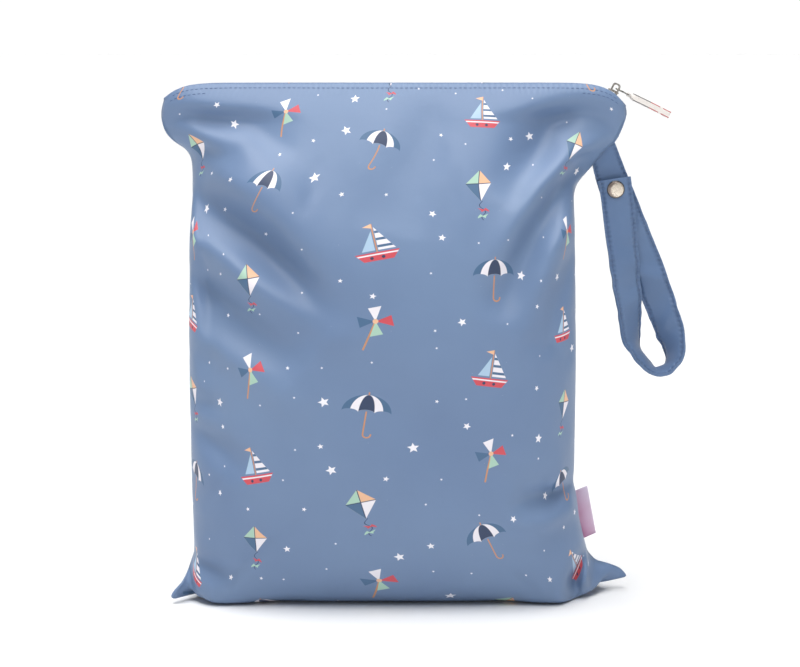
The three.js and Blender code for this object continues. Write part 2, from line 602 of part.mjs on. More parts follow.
// The way out of the seam at a height, square to its edge in the seams' plane
function seamOutward(up) {
  const [low, high] = [seamRight(up - 0.02), seamRight(up + 0.02)];
  return new THREE.Vector3(high[2] - low[2], 0, low[0] - high[0]).normalize();
}

function strapCurves() {
  const out = seamOutward(STRAP_UP);
  const start = sewnPoint().addScaledVector(out, SEAM_CLEARANCE);
  const centre = STRAP_ROUTE.map(({ across, down, back }) => new THREE.Vector3(
    start.x + across * STRAP_DROP, back * STRAP_WIDTH, start.z - down * STRAP_DROP,
  ));
  const turns = STRAP_ROUTE.map(({ tilt, skew }) => new THREE.Vector3(tilt, skew, 0));
  return {
    centre: new THREE.CatmullRomCurve3(centre, false, 'centripetal'),
    turn: new THREE.CatmullRomCurve3(turns, false, 'catmullrom', 0.3),
  };
}

// Sections of the strap, thinner at its stitched edges
function strapGeometry() {
  const { centre, turn } = strapCurves();
  const outline = [
    [-0.5, -0.25], [-0.42, -0.5], [0.42, -0.5], [0.5, -0.25],
    [0.5, 0.25], [0.42, 0.5], [-0.42, 0.5], [-0.5, 0.25],
  ];
  const front = new THREE.Vector3(0, -1, 0);
  const sections = [];
  for (let i = 0; i <= STRAP_STEPS; i += 1) {
    const t = i / STRAP_STEPS;
    const [place, ahead, angles] = [centre.getPoint(t), centre.getTangent(t), turn.getPoint(t)];
    const outer = new THREE.Vector3(-ahead.z, 0, ahead.x).normalize();
    const tilt = THREE.MathUtils.degToRad(angles.x);
    const wide = outer.multiplyScalar(Math.cos(tilt)).addScaledVector(front, Math.sin(tilt));
    const skew = THREE.MathUtils.degToRad(angles.y);
    wide.multiplyScalar(Math.cos(skew)).addScaledVector(ahead, -Math.sin(skew)).normalize();
    const thick = wide.clone().cross(ahead).normalize();
    sections.push(outline.map(([w, h]) => place.clone()
      .addScaledVector(wide, w * STRAP_WIDTH)
      .addScaledVector(thick, h * STRAP_THICK)
      .toArray()));
  }
  return loft(sections, outline);
}

// Where the strap's centre line passes a level, on its rear or its front leg
function strapAt(down, first, last) {
  const { centre } = strapCurves();
  const target = centre.getPoint(0).z - down * STRAP_DROP;
  let [low, high] = [first, last];
  const rising = centre.getPoint(last).z > centre.getPoint(first).z;
  for (let i = 0; i < 40; i += 1) {
    const middle = (low + high) / 2;
    if ((centre.getPoint(middle).z < target) === rising) low = middle;
    else high = middle;
  }
  return centre.getPoint((low + high) / 2);
}
const REAR_LEG = strapAt(SNAP_DOWN, 0, 0.4);
const FRONT_LEG = strapAt(SNAP_DOWN, 0.6, 1);
const SNAP_SIDES = 20;

// A round part of the snap from its profile of [radius, depth behind the seams' plane]
function snapPart(profile) {
  const points = profile.map(([r, y]) => new THREE.Vector2(r, y));
  const geometry = new THREE.LatheGeometry(points, SNAP_SIDES);
  geometry.translate(FRONT_LEG.x, 0, FRONT_LEG.z);
  const { points: corners, triangles } = welded(geometry);
  return toGeometry(corners, triangles);
}

const HALF_STRAP = STRAP_THICK / 2 + SNAP_SEAT;
const CAP_SEAT = FRONT_LEG.y - HALF_STRAP;
const SOCKET_SEAT = FRONT_LEG.y + HALF_STRAP;
const STUD_SEAT = REAR_LEG.y - HALF_STRAP;
const BACK_SEAT = REAR_LEG.y + HALF_STRAP;

// A domed cap seated on the strap, rising to the front (-1) or to the back (1)
function capGeometry(seat, way, radius, rise) {
  return snapPart([
    [0, seat], [radius * 0.94, seat], [radius, seat + way * rise * 0.3],
    [radius * 0.9, seat + way * rise * 0.62], [radius * 0.62, seat + way * rise * 0.9],
    [radius * 0.3, seat + way * rise], [0, seat + way * rise],
  ]);
}

function socketGeometry() {
  const hole = STUD_RADIUS + STUD_CLEARANCE;
  const [low, high] = [SOCKET_SEAT, SOCKET_SEAT + SOCKET_HEIGHT];
  return snapPart([
    [hole, low], [SOCKET_RADIUS, low], [SOCKET_RADIUS, high - 0.5],
    [SOCKET_RADIUS - 0.5, high], [hole, high], [hole, low],
  ]);
}

function studGeometry() {
  const face = SOCKET_SEAT + SOCKET_HEIGHT + SNAP_SEAT;
  const tip = SOCKET_SEAT + STUD_CLEARANCE;
  return snapPart([
    [0, STUD_SEAT], [SOCKET_RADIUS, STUD_SEAT], [SOCKET_RADIUS, face], [STUD_RADIUS * 0.8, face],
    [STUD_RADIUS, (face + tip) / 2], [STUD_RADIUS * 0.7, tip], [0, tip],
  ]);
}

// A ribbon label folded over its outer edge, with both ends caught in the seam
function labelGeometry() {
  const ply = LABEL_THICK * 0.38;
  const half = LABEL_THICK / 2;
  const outline = [
    [0, -half], [0.93, -half], [1, -half * 0.55], [1, half * 0.55], [0.93, half], [0, half],
    [0, half - ply], [0.88, half - ply], [0.88, ply - half], [0, ply - half],
  ];
  const steps = 8;
  const sections = [];
  for (let i = 0; i <= steps; i += 1) {
    const up = LABEL_CENTRE + ((i / steps - 0.5) * LABEL_HEIGHT) / HEIGHT;
    const edge = settle(seamRight(up));
    const out = seamOutward(LABEL_CENTRE);
    const curl = 0.35 * Math.sin((i / steps) * Math.PI);
    sections.push(outline.map(([share, y]) => [
      edge[0] + out.x * (SEAM_CLEARANCE + share * LABEL_REACH),
      y + curl * share,
      edge[2] + out.z * (SEAM_CLEARANCE + share * LABEL_REACH),
    ]));
  }
  return loft(sections, outline);
}

// Materials
const finish = (color, roughness, metalness = 0) => new THREE.MeshStandardMaterial({ color, roughness, metalness });
const coatedFabric = finish(0x8098bd, 0.48);
const strapFabric = finish(0x5f769e, 0.6);
const tapeWeave = finish(0x7388ad, 0.8);
const coilNylon = finish(0x6a80a8, 0.45);
const nickel = finish(0xc9c6c0, 0.25, 1);
const ribbon = finish(0xe9e2df, 0.6);
const satin = finish(0xb98fae, 0.35);

function piece(name, geometry, material) {
  const mesh = new THREE.Mesh(geometry, material);
  mesh.name = name;
  return mesh;
}

// The bag, with everything measured from the seams' plane
const bag = new THREE.Group();
bag.position.y = SEAM_SETBACK;
bag.add(
  piece('front_panel', panelGeometry('front'), coatedFabric),
  piece('back_panel', panelGeometry('back'), coatedFabric),
  piece('zip_tape_front', tapeGeometry('front'), tapeWeave),
  piece('zip_tape_back', tapeGeometry('back'), tapeWeave),
  piece('zip_coil', coilGeometry(), coilNylon),
  piece('wrist_strap', strapGeometry(), strapFabric),
  piece('snap_cap', capGeometry(CAP_SEAT, -1, SNAP_RADIUS, SNAP_RISE), nickel),
  piece('snap_socket', socketGeometry(), nickel),
  piece('snap_stud', studGeometry(), nickel),
  piece('snap_back', capGeometry(BACK_SEAT, 1, SNAP_RADIUS * 0.9, SNAP_RISE * 0.7), nickel),
  piece('side_label', labelGeometry(), satin),
);

// The slider slopes with the zip, and carries the pull on its bridge
const slider = new THREE.Group();
slider.position.set(SLIDER_ENTRY, 0, zipHeight(SLIDER_ENTRY));
slider.rotation.y = ZIP_SLOPE;
slider.add(piece('zip_slider', sliderGeometry(), nickel));

const pull = new THREE.Group();
pull.position.set(PIVOT.along, 0, PIVOT.above);
pull.rotation.y = THREE.MathUtils.degToRad(PULL_DROOP) - ZIP_SLOPE;
pull.add(piece('pull_link', linkGeometry(), nickel), piece('pull_tab', tabGeometry(), ribbon));
slider.add(pull);
bag.add(slider);

export default bag;
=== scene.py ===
import bisect
import math

import bmesh
import bpy
from mathutils import Matrix, Vector, noise
from mathutils.bvhtree import BVHTree


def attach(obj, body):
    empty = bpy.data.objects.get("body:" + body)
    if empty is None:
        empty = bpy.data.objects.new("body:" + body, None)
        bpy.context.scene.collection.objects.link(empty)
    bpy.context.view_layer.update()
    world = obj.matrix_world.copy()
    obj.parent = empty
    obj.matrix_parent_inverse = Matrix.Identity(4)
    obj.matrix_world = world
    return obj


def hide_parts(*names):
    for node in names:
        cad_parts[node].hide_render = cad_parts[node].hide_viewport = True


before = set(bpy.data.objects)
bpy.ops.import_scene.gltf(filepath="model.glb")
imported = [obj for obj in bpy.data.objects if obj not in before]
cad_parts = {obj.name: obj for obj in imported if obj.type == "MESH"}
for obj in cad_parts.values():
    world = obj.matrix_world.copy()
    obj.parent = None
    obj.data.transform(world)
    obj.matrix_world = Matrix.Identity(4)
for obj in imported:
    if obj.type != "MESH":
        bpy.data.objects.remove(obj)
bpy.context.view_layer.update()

# The bag stands on a plain white floor in soft light from above. The camera looks a little down
# on its front, from as far as a product picture is taken.
LOOK_AT = Vector((0.012, 0.0, 0.187))
CAMERA_FAR = 1.5
CAMERA_UP = math.radians(9.25)


def put(name, data):
    """Puts one object in the scene."""
    made = bpy.data.objects.new(name, data)
    bpy.context.collection.objects.link(made)
    return made


camera_data = bpy.data.cameras.new("camera")
camera_data.lens = 96.4
camera = put("camera", camera_data)
camera.location = LOOK_AT + CAMERA_FAR * Vector((0, -math.cos(CAMERA_UP), math.sin(CAMERA_UP)))
camera.rotation_euler = (math.pi / 2 - CAMERA_UP, 0, 0)
bpy.context.scene.camera = camera
bpy.context.scene.view_settings.view_transform = "Standard"

# The studio is a white room. Its floor and the foot of its walls are bright, and it is dimmer
# higher up, so that the folds of the coated cloth take soft shades.
world = bpy.data.worlds.new("studio")
world.use_nodes = True
room = world.node_tree
heading = room.nodes.new("ShaderNodeTexCoord")
split = room.nodes.new("ShaderNodeSeparateXYZ")
walls = room.nodes.new("ShaderNodeMapRange")
walls.interpolation_type = "SMOOTHSTEP"
for name, value in (("From Min", 0.05), ("From Max", 0.16), ("To Min", 1.02), ("To Max", 0.22)):
    walls.inputs[name].default_value = value
room.links.new(heading.outputs["Generated"], split.inputs[0])
room.links.new(split.outputs["Z"], walls.inputs["Value"])
room.links.new(walls.outputs["Result"], room.nodes["Background"].inputs["Strength"])
room.nodes["Background"].inputs["Color"].default_value = (1, 1, 1, 1)
bpy.context.scene.world = world


def hang(name, kind, power):
    """Hangs one lamp in the room."""
    data = bpy.data.lights.new(name, kind)
    data.energy = power
    return put(name, data)


FRONT_LIGHT_PLACE = Vector((0.12, -1.1, 1.9))
FRONT_LIGHT_AIM = Vector((0, 0, 0.25))
front_light = hang("front_light", "AREA", 16)
front_light.data.shape = "RECTANGLE"
front_light.data.size, front_light.data.size_y = 1.0, 0.7
front_light.location = FRONT_LIGHT_PLACE
downward = FRONT_LIGHT_AIM - FRONT_LIGHT_PLACE
front_light.rotation_euler = downward.to_track_quat("-Z", "Y").to_euler()
ceiling = hang("ceiling_light", "SUN", 3.0)
ceiling.data.angle = math.radians(45)
ceiling.rotation_euler = Vector((-0.12, -0.02, 1)).to_track_quat("Z", "Y").to_euler()

floor_mesh = bpy.data.meshes.new("floor")
plan = bmesh.new()
bmesh.ops.create_grid(plan, x_segments=1, y_segments=1, size=12)
plan.to_mesh(floor_mesh)
plan.free()
floor = put("floor", floor_mesh)
white = bpy.data.materials.new("white_floor")
white.use_nodes = True
paint = white.node_tree.nodes["Principled BSDF"]
paint.inputs["Base Color"].default_value = (0.9, 0.9, 0.9, 1)
paint.inputs["Roughness"].default_value = 0.8
floor_mesh.materials.append(white)

# The pouch is one long strip of coated polyester, cut as two rectangles that are sewn at the sides
# and the bottom and turned right side out. It stands filled, so its panels bulge between the
# seams and fall into soft folds from the flat corners.
FLAT_WIDTH = 0.325
FLAT_HEIGHT = 0.400
SEAM_Y = 0.006
PLIES_APART = 0.0004
COLUMNS = 64
ROWS = 80

# The seams' places on the full bag, from the tip of each lower corner up to the mouth's end
LEFT_SEAM = [
    (-0.1485, -0.031, 0.0035), (-0.1465, -0.03, 0.0088), (-0.141, -0.027, 0.014),
    (-0.137, -0.018, 0.022), (-0.133, -0.005, 0.034), (-0.1322, 0.004, 0.05),
    (-0.1322, 0.006, 0.12), (-0.1322, 0.006, 0.21), (-0.1322, 0.006, 0.3),
    (-0.1332, 0.006, 0.3105), (-0.1375, 0.006, 0.316), (-0.145, 0.006, 0.3206),
    (-0.151, 0.006, 0.327), (-0.1535, 0.006, 0.336), (-0.1532, 0.006, 0.344),
    (-0.1505, 0.006, 0.351),
]
RIGHT_SEAM = [
    (0.1752, 0.006, 0.01), (0.1695, 0.006, 0.0166), (0.16, 0.006, 0.0198), (0.1515, 0.006, 0.0216),
    (0.1458, 0.006, 0.029), (0.1418, 0.006, 0.044), (0.1362, 0.006, 0.064), (0.1322, 0.006, 0.088),
    (0.132, 0.006, 0.2), (0.1322, 0.006, 0.28), (0.1345, 0.006, 0.291), (0.1455, 0.006, 0.3033),
    (0.155, 0.006, 0.3138), (0.1625, 0.006, 0.3214), (0.167, 0.006, 0.332), (0.1695, 0.006, 0.341),
    (0.1675, 0.006, 0.346),
]
# The middle of each panel, as its distance from the seams' plane and its height
FRONT_PROFILE = [
    (0.0, 0.0), (0.02, 0.0), (0.036, 0.001), (0.045, 0.006), (0.053, 0.018), (0.06, 0.035),
    (0.0655, 0.06), (0.069, 0.1), (0.07, 0.15), (0.067, 0.205), (0.059, 0.255), (0.047, 0.295),
    (0.034, 0.32), (0.022, 0.34), (0.0125, 0.352), (0.0062, 0.361),
]
BACK_PROFILE = [
    (0.0, 0.0), (0.018, 0.0), (0.032, 0.001), (0.041, 0.007), (0.049, 0.019), (0.055, 0.036),
    (0.059, 0.06), (0.062, 0.1), (0.063, 0.15), (0.0605, 0.205), (0.0535, 0.255), (0.043, 0.295),
    (0.032, 0.32), (0.0215, 0.34), (0.0125, 0.352), (0.0068, 0.361),
]


def along(route, share):
    """The point at a share of a route's length."""
    points = [Vector(point) for point in route]
    lengths = [(b - a).length for a, b in zip(points, points[1:])]
    left = share * sum(lengths)
    for a, b, length in zip(points, points[1:], lengths):
        if left <= length:
            return a.lerp(b, left / length)
        left -= length
    return points[-1]


def ease(value, low, high):
    """Rises softly from 0 at the low value to 1 at the high one."""
    t = min(max((value - low) / (high - low), 0), 1)
    return t * t * (3 - 2 * t)


def filled_place(across, up, side):
    """Where a point of a panel lies before the cloth settles.

    Across runs from -1 to 1 between the seams, and up from 0 to 1 between the bottom and the lip.
    """
    left, right = along(LEFT_SEAM, up), along(RIGHT_SEAM, up)
    depth, height = along(FRONT_PROFILE if side < 0 else BACK_PROFILE, up)
    round_share = ease(up, 0.0, 0.12) * (1 - ease(up, 0.72, 1.0))
    spread = (1 - round_share) * across + round_share * math.sin(across * math.pi / 2)
    edge = left.lerp(right, (spread + 1) / 2)
    flat_corner = ease(up, 0.8, 0.88) * (1 - ease(up, 0.93, 1.0))
    square = 2.8 - 0.6 * flat_corner + 25 * ease(up, 0.93, 1.0)
    swell = max(1 - abs(across) ** square, 0) ** (0.75 - 0.25 * round_share + 0.35 * flat_corner)
    droop = abs(across) ** (4 + 12 * ease(up, 0.6, 1.0))
    middle = 1 - abs(across) ** 6
    y = edge.y * (1 - middle) + SEAM_Y * middle + side * depth * swell
    return Vector((edge.x, y, height * (1 - droop) + edge.z * droop))


def mapped_grid(columns, rows, map_name, map_place):
    """A flat grid from -1 to 1 with its own map, whose places are a function of x and y."""
    work = bmesh.new()
    bmesh.ops.create_grid(work, x_segments=columns, y_segments=rows, size=1)
    layer = work.loops.layers.uv.new(map_name)
    for face in work.faces:
        for loop in face.loops:
            loop[layer].uv = map_place(loop.vert.co.x, loop.vert.co.y)
    return work


pouch_mesh = bpy.data.meshes.new("pouch")
cloth = mapped_grid(
    2 * COLUMNS, ROWS, "print", lambda x, y: (x * FLAT_WIDTH, (y + 1) / 2 * FLAT_HEIGHT)
)
# The strip is folded round: its left half becomes the front, its right half the back
for vert in cloth.verts:
    across, up = vert.co.x, (vert.co.y + 1) / 2
    side = -1 if across < 0 else 1
    local = 2 * across + 1 if side < 0 else 1 - 2 * across
    apart = 0 if up < 1e-6 or abs(local) > 1 - 1e-6 else PLIES_APART
    vert.co = Vector((local * FLAT_WIDTH / 2, side * apart, up * FLAT_HEIGHT))
bmesh.ops.remove_doubles(cloth, verts=cloth.verts, dist=1e-5)
cloth.to_mesh(pouch_mesh)
cloth.free()
pouch = put("pouch", pouch_mesh)
filled = pouch.shape_key_add(name="filled")
flat = pouch.shape_key_add(name="flat")

# The lip and the bottom seam are held while the cloth settles, the side seams a little less, and
# the flat base as far as its corners
SEAM_HOLD = 0.6
NEAR_EDGE = 0.999
held = pouch.vertex_groups.new(name="held")
places = []
for vert, point in zip(pouch_mesh.vertices, filled.data):
    across, up = vert.co.x / (FLAT_WIDTH / 2), vert.co.z / FLAT_HEIGHT
    side = -1 if vert.co.y < 0 else 1
    point.co = filled_place(across, up, side)
    places.append((side, across, up))
    hold = (1 - ease(up, 0.06, 0.1)) * (1 - ease(abs(across), 0.6, 0.9))
    if not 1 - NEAR_EDGE <= up <= NEAR_EDGE:
        hold = 1.0
    elif abs(across) > NEAR_EDGE:
        hold = max(hold, SEAM_HOLD)
    if hold > 0:
        held.add([vert.index], hold, "REPLACE")
for vert, point in zip(pouch_mesh.vertices, filled.data):
    vert.co = point.co

# The cloth is a little larger than the space it fills, so it wrinkles as it settles
SETTLE_FRAMES = 30
filling = pouch.modifiers.new("filling", "CLOTH")
fabric = filling.settings
fabric.quality = 8
fabric.mass = 0.003
fabric.tension_stiffness = 80
fabric.compression_stiffness = 80
fabric.shear_stiffness = 12
fabric.bending_stiffness = 1
fabric.tension_damping = 5
fabric.compression_damping = 5
fabric.air_damping = 1
fabric.use_pressure = True
fabric.uniform_pressure_force = 10
fabric.effector_weights.gravity = 0
fabric.vertex_group_mass = "held"
fabric.pin_stiffness = 1
fabric.rest_shape_key = flat
filling.collision_settings.use_collision = False
for frame_number in range(1, SETTLE_FRAMES + 1):
    bpy.context.scene.frame_set(frame_number)
at_rest = pouch.evaluated_get(bpy.context.evaluated_depsgraph_get())
settled = bpy.data.meshes.new_from_object(at_rest)
bpy.data.objects.remove(pouch)

# The long folds that run down from the flat corners. Each has its points as (x, z), its half widths
# to the left and to the right of its way, and its rise.
FRONT_FOLDS = [
    ([(-0.136, 0.32), (-0.1, 0.298), (-0.062, 0.268), (-0.042, 0.24), (-0.022, 0.205)],
     0.024, 0.01, 0.0052),
    ([(-0.128, 0.286), (-0.085, 0.258), (-0.056, 0.23), (-0.03, 0.198)], 0.013, 0.019, -0.0086),
    ([(-0.128, 0.256), (-0.086, 0.23), (-0.042, 0.204), (-0.014, 0.184)], 0.012, 0.009, 0.0046),
    ([(-0.128, 0.23), (-0.096, 0.205), (-0.054, 0.176)], 0.01, 0.02, -0.0066),
    ([(-0.126, 0.19), (-0.078, 0.164), (-0.05, 0.138)], 0.013, 0.01, 0.0034),
    ([(-0.15, 0.345), (-0.119, 0.337), (-0.09, 0.333), (-0.06, 0.316)], 0.009, 0.007, -0.0024),
    ([(-0.142, 0.327), (-0.098, 0.322), (-0.05, 0.286)], 0.01, 0.012, 0.0034),
    ([(-0.136, 0.3265), (-0.109, 0.309)], 0.0036, 0.005, -0.0034),
    ([(0.16, 0.322), (0.129, 0.312), (0.107, 0.288), (0.09, 0.262), (0.074, 0.228)],
     0.01, 0.01, 0.0066),
    ([(0.164, 0.346), (0.135, 0.346), (0.114, 0.333), (0.099, 0.309), (0.084, 0.282)],
     0.011, 0.014, -0.0062),
    ([(0.136, 0.304), (0.118, 0.29), (0.102, 0.266), (0.088, 0.236), (0.078, 0.205)],
     0.011, 0.011, -0.0086),
    ([(0.13, 0.272), (0.116, 0.248), (0.108, 0.214)], 0.009, 0.009, 0.003),
    ([(0.131, 0.246), (0.118, 0.214), (0.112, 0.18)], 0.008, 0.011, -0.0042),
    ([(0.134, 0.086), (0.114, 0.08), (0.09, 0.082)], 0.006, 0.0065, -0.006),
    ([(0.13, 0.068), (0.106, 0.063), (0.086, 0.067)], 0.007, 0.0055, 0.0036),
    ([(0.141, 0.036), (0.1345, 0.022), (0.136, 0.008)], 0.0042, 0.0055, -0.0108),
    ([(-0.132, 0.036), (-0.116, 0.031), (-0.1, 0.027)], 0.006, 0.006, -0.0046),
    ([(-0.13, 0.126), (-0.108, 0.114), (-0.086, 0.1)], 0.008, 0.01, -0.0038),
    ([(-0.13, 0.146), (-0.106, 0.143)], 0.005, 0.006, -0.0028),
    ([(-0.124, 0.285), (-0.118, 0.22), (-0.114, 0.15), (-0.12, 0.1)], 0.034, 0.01, -0.006),
    ([(0.034, 0.33), (0.02, 0.3), (0.012, 0.262)], 0.02, 0.024, -0.0024),
    ([(0.0, 0.16), (0.03, 0.12), (0.05, 0.07)], 0.03, 0.03, -0.0026),
]
BACK_FOLDS = [
    ([(-0.14, 0.318), (-0.098, 0.272), (-0.05, 0.222)], 0.012, 0.02, 0.0054),
    ([(-0.13, 0.286), (-0.1, 0.24), (-0.06, 0.19)], 0.012, 0.016, -0.0078),
    ([(0.152, 0.314), (0.1, 0.258), (0.046, 0.214)], 0.014, 0.01, 0.0054),
    ([(0.134, 0.282), (0.092, 0.226), (0.04, 0.18)], 0.016, 0.012, -0.0078),
    ([(0.128, 0.232), (0.09, 0.184), (0.058, 0.152)], 0.01, 0.01, 0.003),
    ([(-0.128, 0.222), (-0.092, 0.172), (-0.066, 0.146)], 0.009, 0.009, 0.0028),
    ([(-0.128, 0.07), (-0.1, 0.052)], 0.006, 0.006, -0.0044),
    ([(0.13, 0.1), (0.09, 0.084)], 0.006, 0.007, -0.004),
    ([(0.128, 0.044), (0.1, 0.03)], 0.006, 0.006, -0.0044),
]


def fold_height(x, z, folds):
    """How far the long folds lift a point of a panel off its smooth shape."""
    height = 0
    for route, left_width, right_width, rise in folds:
        lengths = [math.dist(a, b) for a, b in zip(route, route[1:])]
        passed, nearest, share, turn = 0, 1, 0, 0
        for a, b, length in zip(route, route[1:], lengths):
            way_x, way_z = (b[0] - a[0]) / length, (b[1] - a[1]) / length
            run = min(max((x - a[0]) * way_x + (z - a[1]) * way_z, 0), length)
            off_x, off_z = x - a[0] - run * way_x, z - a[1] - run * way_z
            off = math.hypot(off_x, off_z)
            if off < nearest:
                nearest, share = off, (passed + run) / sum(lengths)
                turn = way_x * off_z - way_z * off_x
            passed += length
        across_fold = ease(turn, -0.004, 0.004)
        wide = (right_width + (left_width - right_width) * across_fold) * (0.7 + 0.6 * share)
        fade = math.sin(math.pi * (0.2 + 0.8 * share)) ** 0.7
        height += rise * math.exp(-((nearest / wide) ** 2)) * fade
    return height


# The folds are lifted out of the settled cloth, and the corners of its base sink on to the floor
FOLD_RISE = 1.9
BASE_SPREAD = 0.008
BASE_SINK = 0.008
FLOOR_GAP = 0.0008
for vert, (side, across, up) in zip(settled.vertices, places):
    lift = fold_height(vert.co.x, vert.co.z, FRONT_FOLDS if side < 0 else BACK_FOLDS)
    lift *= (1 - abs(across) ** 16) * (1 - ease(up, 0.94, 0.99)) * ease(up, 0.01, 0.06)
    sunk = ease(abs(across), 0.35, 0.75) * (1 - ease(abs(across), 0.9, 1)) * ease(up, 0.02, 0.05)
    sunk *= 1 - ease(up, 0.08, 0.24)
    vert.co += Vector((0, side * (FOLD_RISE * lift + BASE_SPREAD * sunk), -BASE_SINK * sunk))
    vert.co.z = max(vert.co.z, FLOOR_GAP)

cloth_index = {}
for index, (side, across, up) in enumerate(places):
    column, row = round((across + 1) / 2 * COLUMNS), round(up * ROWS)
    for way in (-1, 1) if row == 0 or column in (0, COLUMNS) else (side,):
        cloth_index[way, column, row] = index


def on_cloth(side, across, up):
    """A point of the settled cloth, from its place on the flat panel."""
    i, j = (across + 1) / 2 * COLUMNS, up * ROWS
    near = [(min(int(i) + a, COLUMNS), min(int(j) + b, ROWS)) for b in (0, 1) for a in (0, 1)]
    spots = [settled.vertices[cloth_index[side, a, b]].co for a, b in near]
    low, high = spots[0].lerp(spots[1], i - int(i)), spots[2].lerp(spots[3], i - int(i))
    return low.lerp(high, j - int(j))


class Thread:
    """One value on its way through a material. An expression on it adds its Math nodes."""

    def __init__(self, tree, socket):
        self.tree, self.socket = tree, socket

    def node(self, kind, settings=None, values=None, out=0):
        """Adds a node: first its settings, then the values or links of its sockets."""
        made = self.tree.nodes.new(kind)
        for name, setting in (settings or {}).items():
            setattr(made, name, setting)
        for name, value in (values or {}).items():
            if isinstance(value, Thread):
                self.tree.links.new(value.socket, made.inputs[name])
            else:
                made.inputs[name].default_value = value
        return Thread(self.tree, made.outputs[out])

    def sum(self, operation, *values, clamp=False):
        settings = {"operation": operation, "use_clamp": clamp}
        return self.node("ShaderNodeMath", settings, dict(enumerate(values)))

    def __add__(self, other):
        return self.sum("ADD", self, other)

    def __sub__(self, other):
        return self.sum("SUBTRACT", self, other)

    def __rsub__(self, other):
        return self.sum("SUBTRACT", other, self)

    def __mul__(self, other):
        return self.sum("MULTIPLY", self, other)

    def __truediv__(self, other):
        return self.sum("DIVIDE", self, other)

    def __mod__(self, other):
        return self.sum("FLOORED_MODULO", self, other)

    def __abs__(self):
        return self.sum("ABSOLUTE", self)

    def __lt__(self, other):
        return self.sum("LESS_THAN", self, other)

    def __gt__(self, other):
        return self.sum("GREATER_THAN", self, other)

    __radd__ = __add__
    __rmul__ = __mul__

    def most(self, other):
        return self.sum("MAXIMUM", self, other)

    def least(self, other):
        return self.sum("MINIMUM", self, other)

    def floor(self):
        return self.sum("FLOOR", self)

    def wave(self, length):
        """A sine of this value, from -1 to 1, that repeats after a length."""
        return self.sum("SINE", self * (2 * math.pi / length))

    def inside(self, soft):
        """A mask of where this distance is below zero, with a soft edge."""
        return self.sum("MULTIPLY_ADD", self, -1 / soft, 0.5, clamp=True)

    def between(self, low, high):
        """This value's share of the way from a low value to a high one."""
        return self.node("ShaderNodeMapRange", None, {0: self, 1: low, 2: high})

    def mottle(self, scale, detail=2.0, roughness=0.5):
        """Soft noise at this place."""
        values = {"Vector": self, "Scale": scale, "Detail": detail, "Roughness": roughness}
        return self.node("ShaderNodeTexNoise", None, values)

    def bump(self, strength, distance):
        """A surface with this height on it."""
        values = {"Strength": strength, "Distance": distance, "Height": self}
        return self.node("ShaderNodeBump", None, values)

    def tint(self, under, over):
        """The under colour, or the over colour where this mask is 1."""
        values = {0: self, 6: under, 7: over}
        return self.node("ShaderNodeMix", {"data_type": "RGBA"}, values, out=2)


def dye(code):
    """A colour from its hexadecimal code, as a shader takes it."""
    parts = [int(code[i : i + 2], 16) / 255 for i in (1, 3, 5)]
    return tuple(p / 12.92 if p <= 0.04045 else ((p + 0.055) / 1.055) ** 2.4 for p in parts) + (1,)


def new_material(name):
    """A material, its shader and a thread to build on."""
    made = bpy.data.materials.new(name)
    made.use_nodes = True
    shader = made.node_tree.nodes["Principled BSDF"]
    return made, shader, Thread(made.node_tree, None)


def finish(shader, start, **sockets):
    """Sets a shader's sockets, by their names with low lines for spaces."""
    for name, value in sockets.items():
        socket = shader.inputs[name.replace("_", " ")]
        if isinstance(value, Thread):
            start.tree.links.new(value.socket, socket)
        else:
            socket.default_value = value


def spread(start, source, settings=None, out=0):
    """The x, y and z of a texture coordinate, and the coordinate itself."""
    place = start.node(source, settings, out=out)
    return [start.node("ShaderNodeSeparateXYZ", None, {0: place}, out=i) for i in range(3)], place


# The print is on the outer face of the fabric and runs on from panel to panel. Its motifs are an
# umbrella, a sailing boat, a kite and a pinwheel, with stars and dots between them. All is in
# millimetres of the flat cloth.
COLUMN_STEP = 68
MOTIF_STEP = 58
MOTIF_SLIP_X, MOTIF_SLIP_Y, MOTIF_LEAN = 9, 8, 0.75
MOTIF_SHRINK = 1.12
STAR_STEP = 25
STAR_RADIUS = 3.3
STAR_LEAN = 1.2
STAR_CLEAR = 20
SOFT_EDGE = 0.22
NAVY, STEEL, SKY, OFF_WHITE = dye("#33415f"), dye("#4a6a8c"), dye("#a9c4dc"), dye("#ece8ee")
RED, PEACH, SAGE, TAN = dye("#cc4f5a"), dye("#e9b995"), dye("#a9cbb8"), dye("#c98f63")

coated, coated_shader, start = new_material("coated_print")
(u, v, _), print_place = spread(start, "ShaderNodeUVMap", {"uv_map": "print"})
flat_u, flat_v = u * 1000, v * 1000


def straight(x, y, corners):
    """Distance into a flat-sided shape, whose corners run against the clock."""
    depth = None
    for (ax, ay), (bx, by) in zip(corners, corners[1:] + corners[:1]):
        length = math.dist((ax, ay), (bx, by))
        nx, ny = (by - ay) / length, (ax - bx) / length
        line = x.sum("MULTIPLY_ADD", x, nx, y.sum("MULTIPLY_ADD", y, ny, -(ax * nx + ay * ny)))
        depth = line if depth is None else depth.most(line)
    return depth


def oval(x, y, cx, cy, rx, ry):
    """Distance into an oval, near its edge."""
    dx = x.sum("MULTIPLY_ADD", x, 1 / rx, -cx / rx)
    dy = y.sum("MULTIPLY_ADD", y, 1 / ry, -cy / ry)
    return (dx * dx + dy * dy - 1) * (min(rx, ry) / 2)


def bar(x, y, cx, cy, half_x, half_y):
    """Distance into an upright oblong."""
    return (abs(x - cx) - half_x).most(abs(y - cy) - half_y)


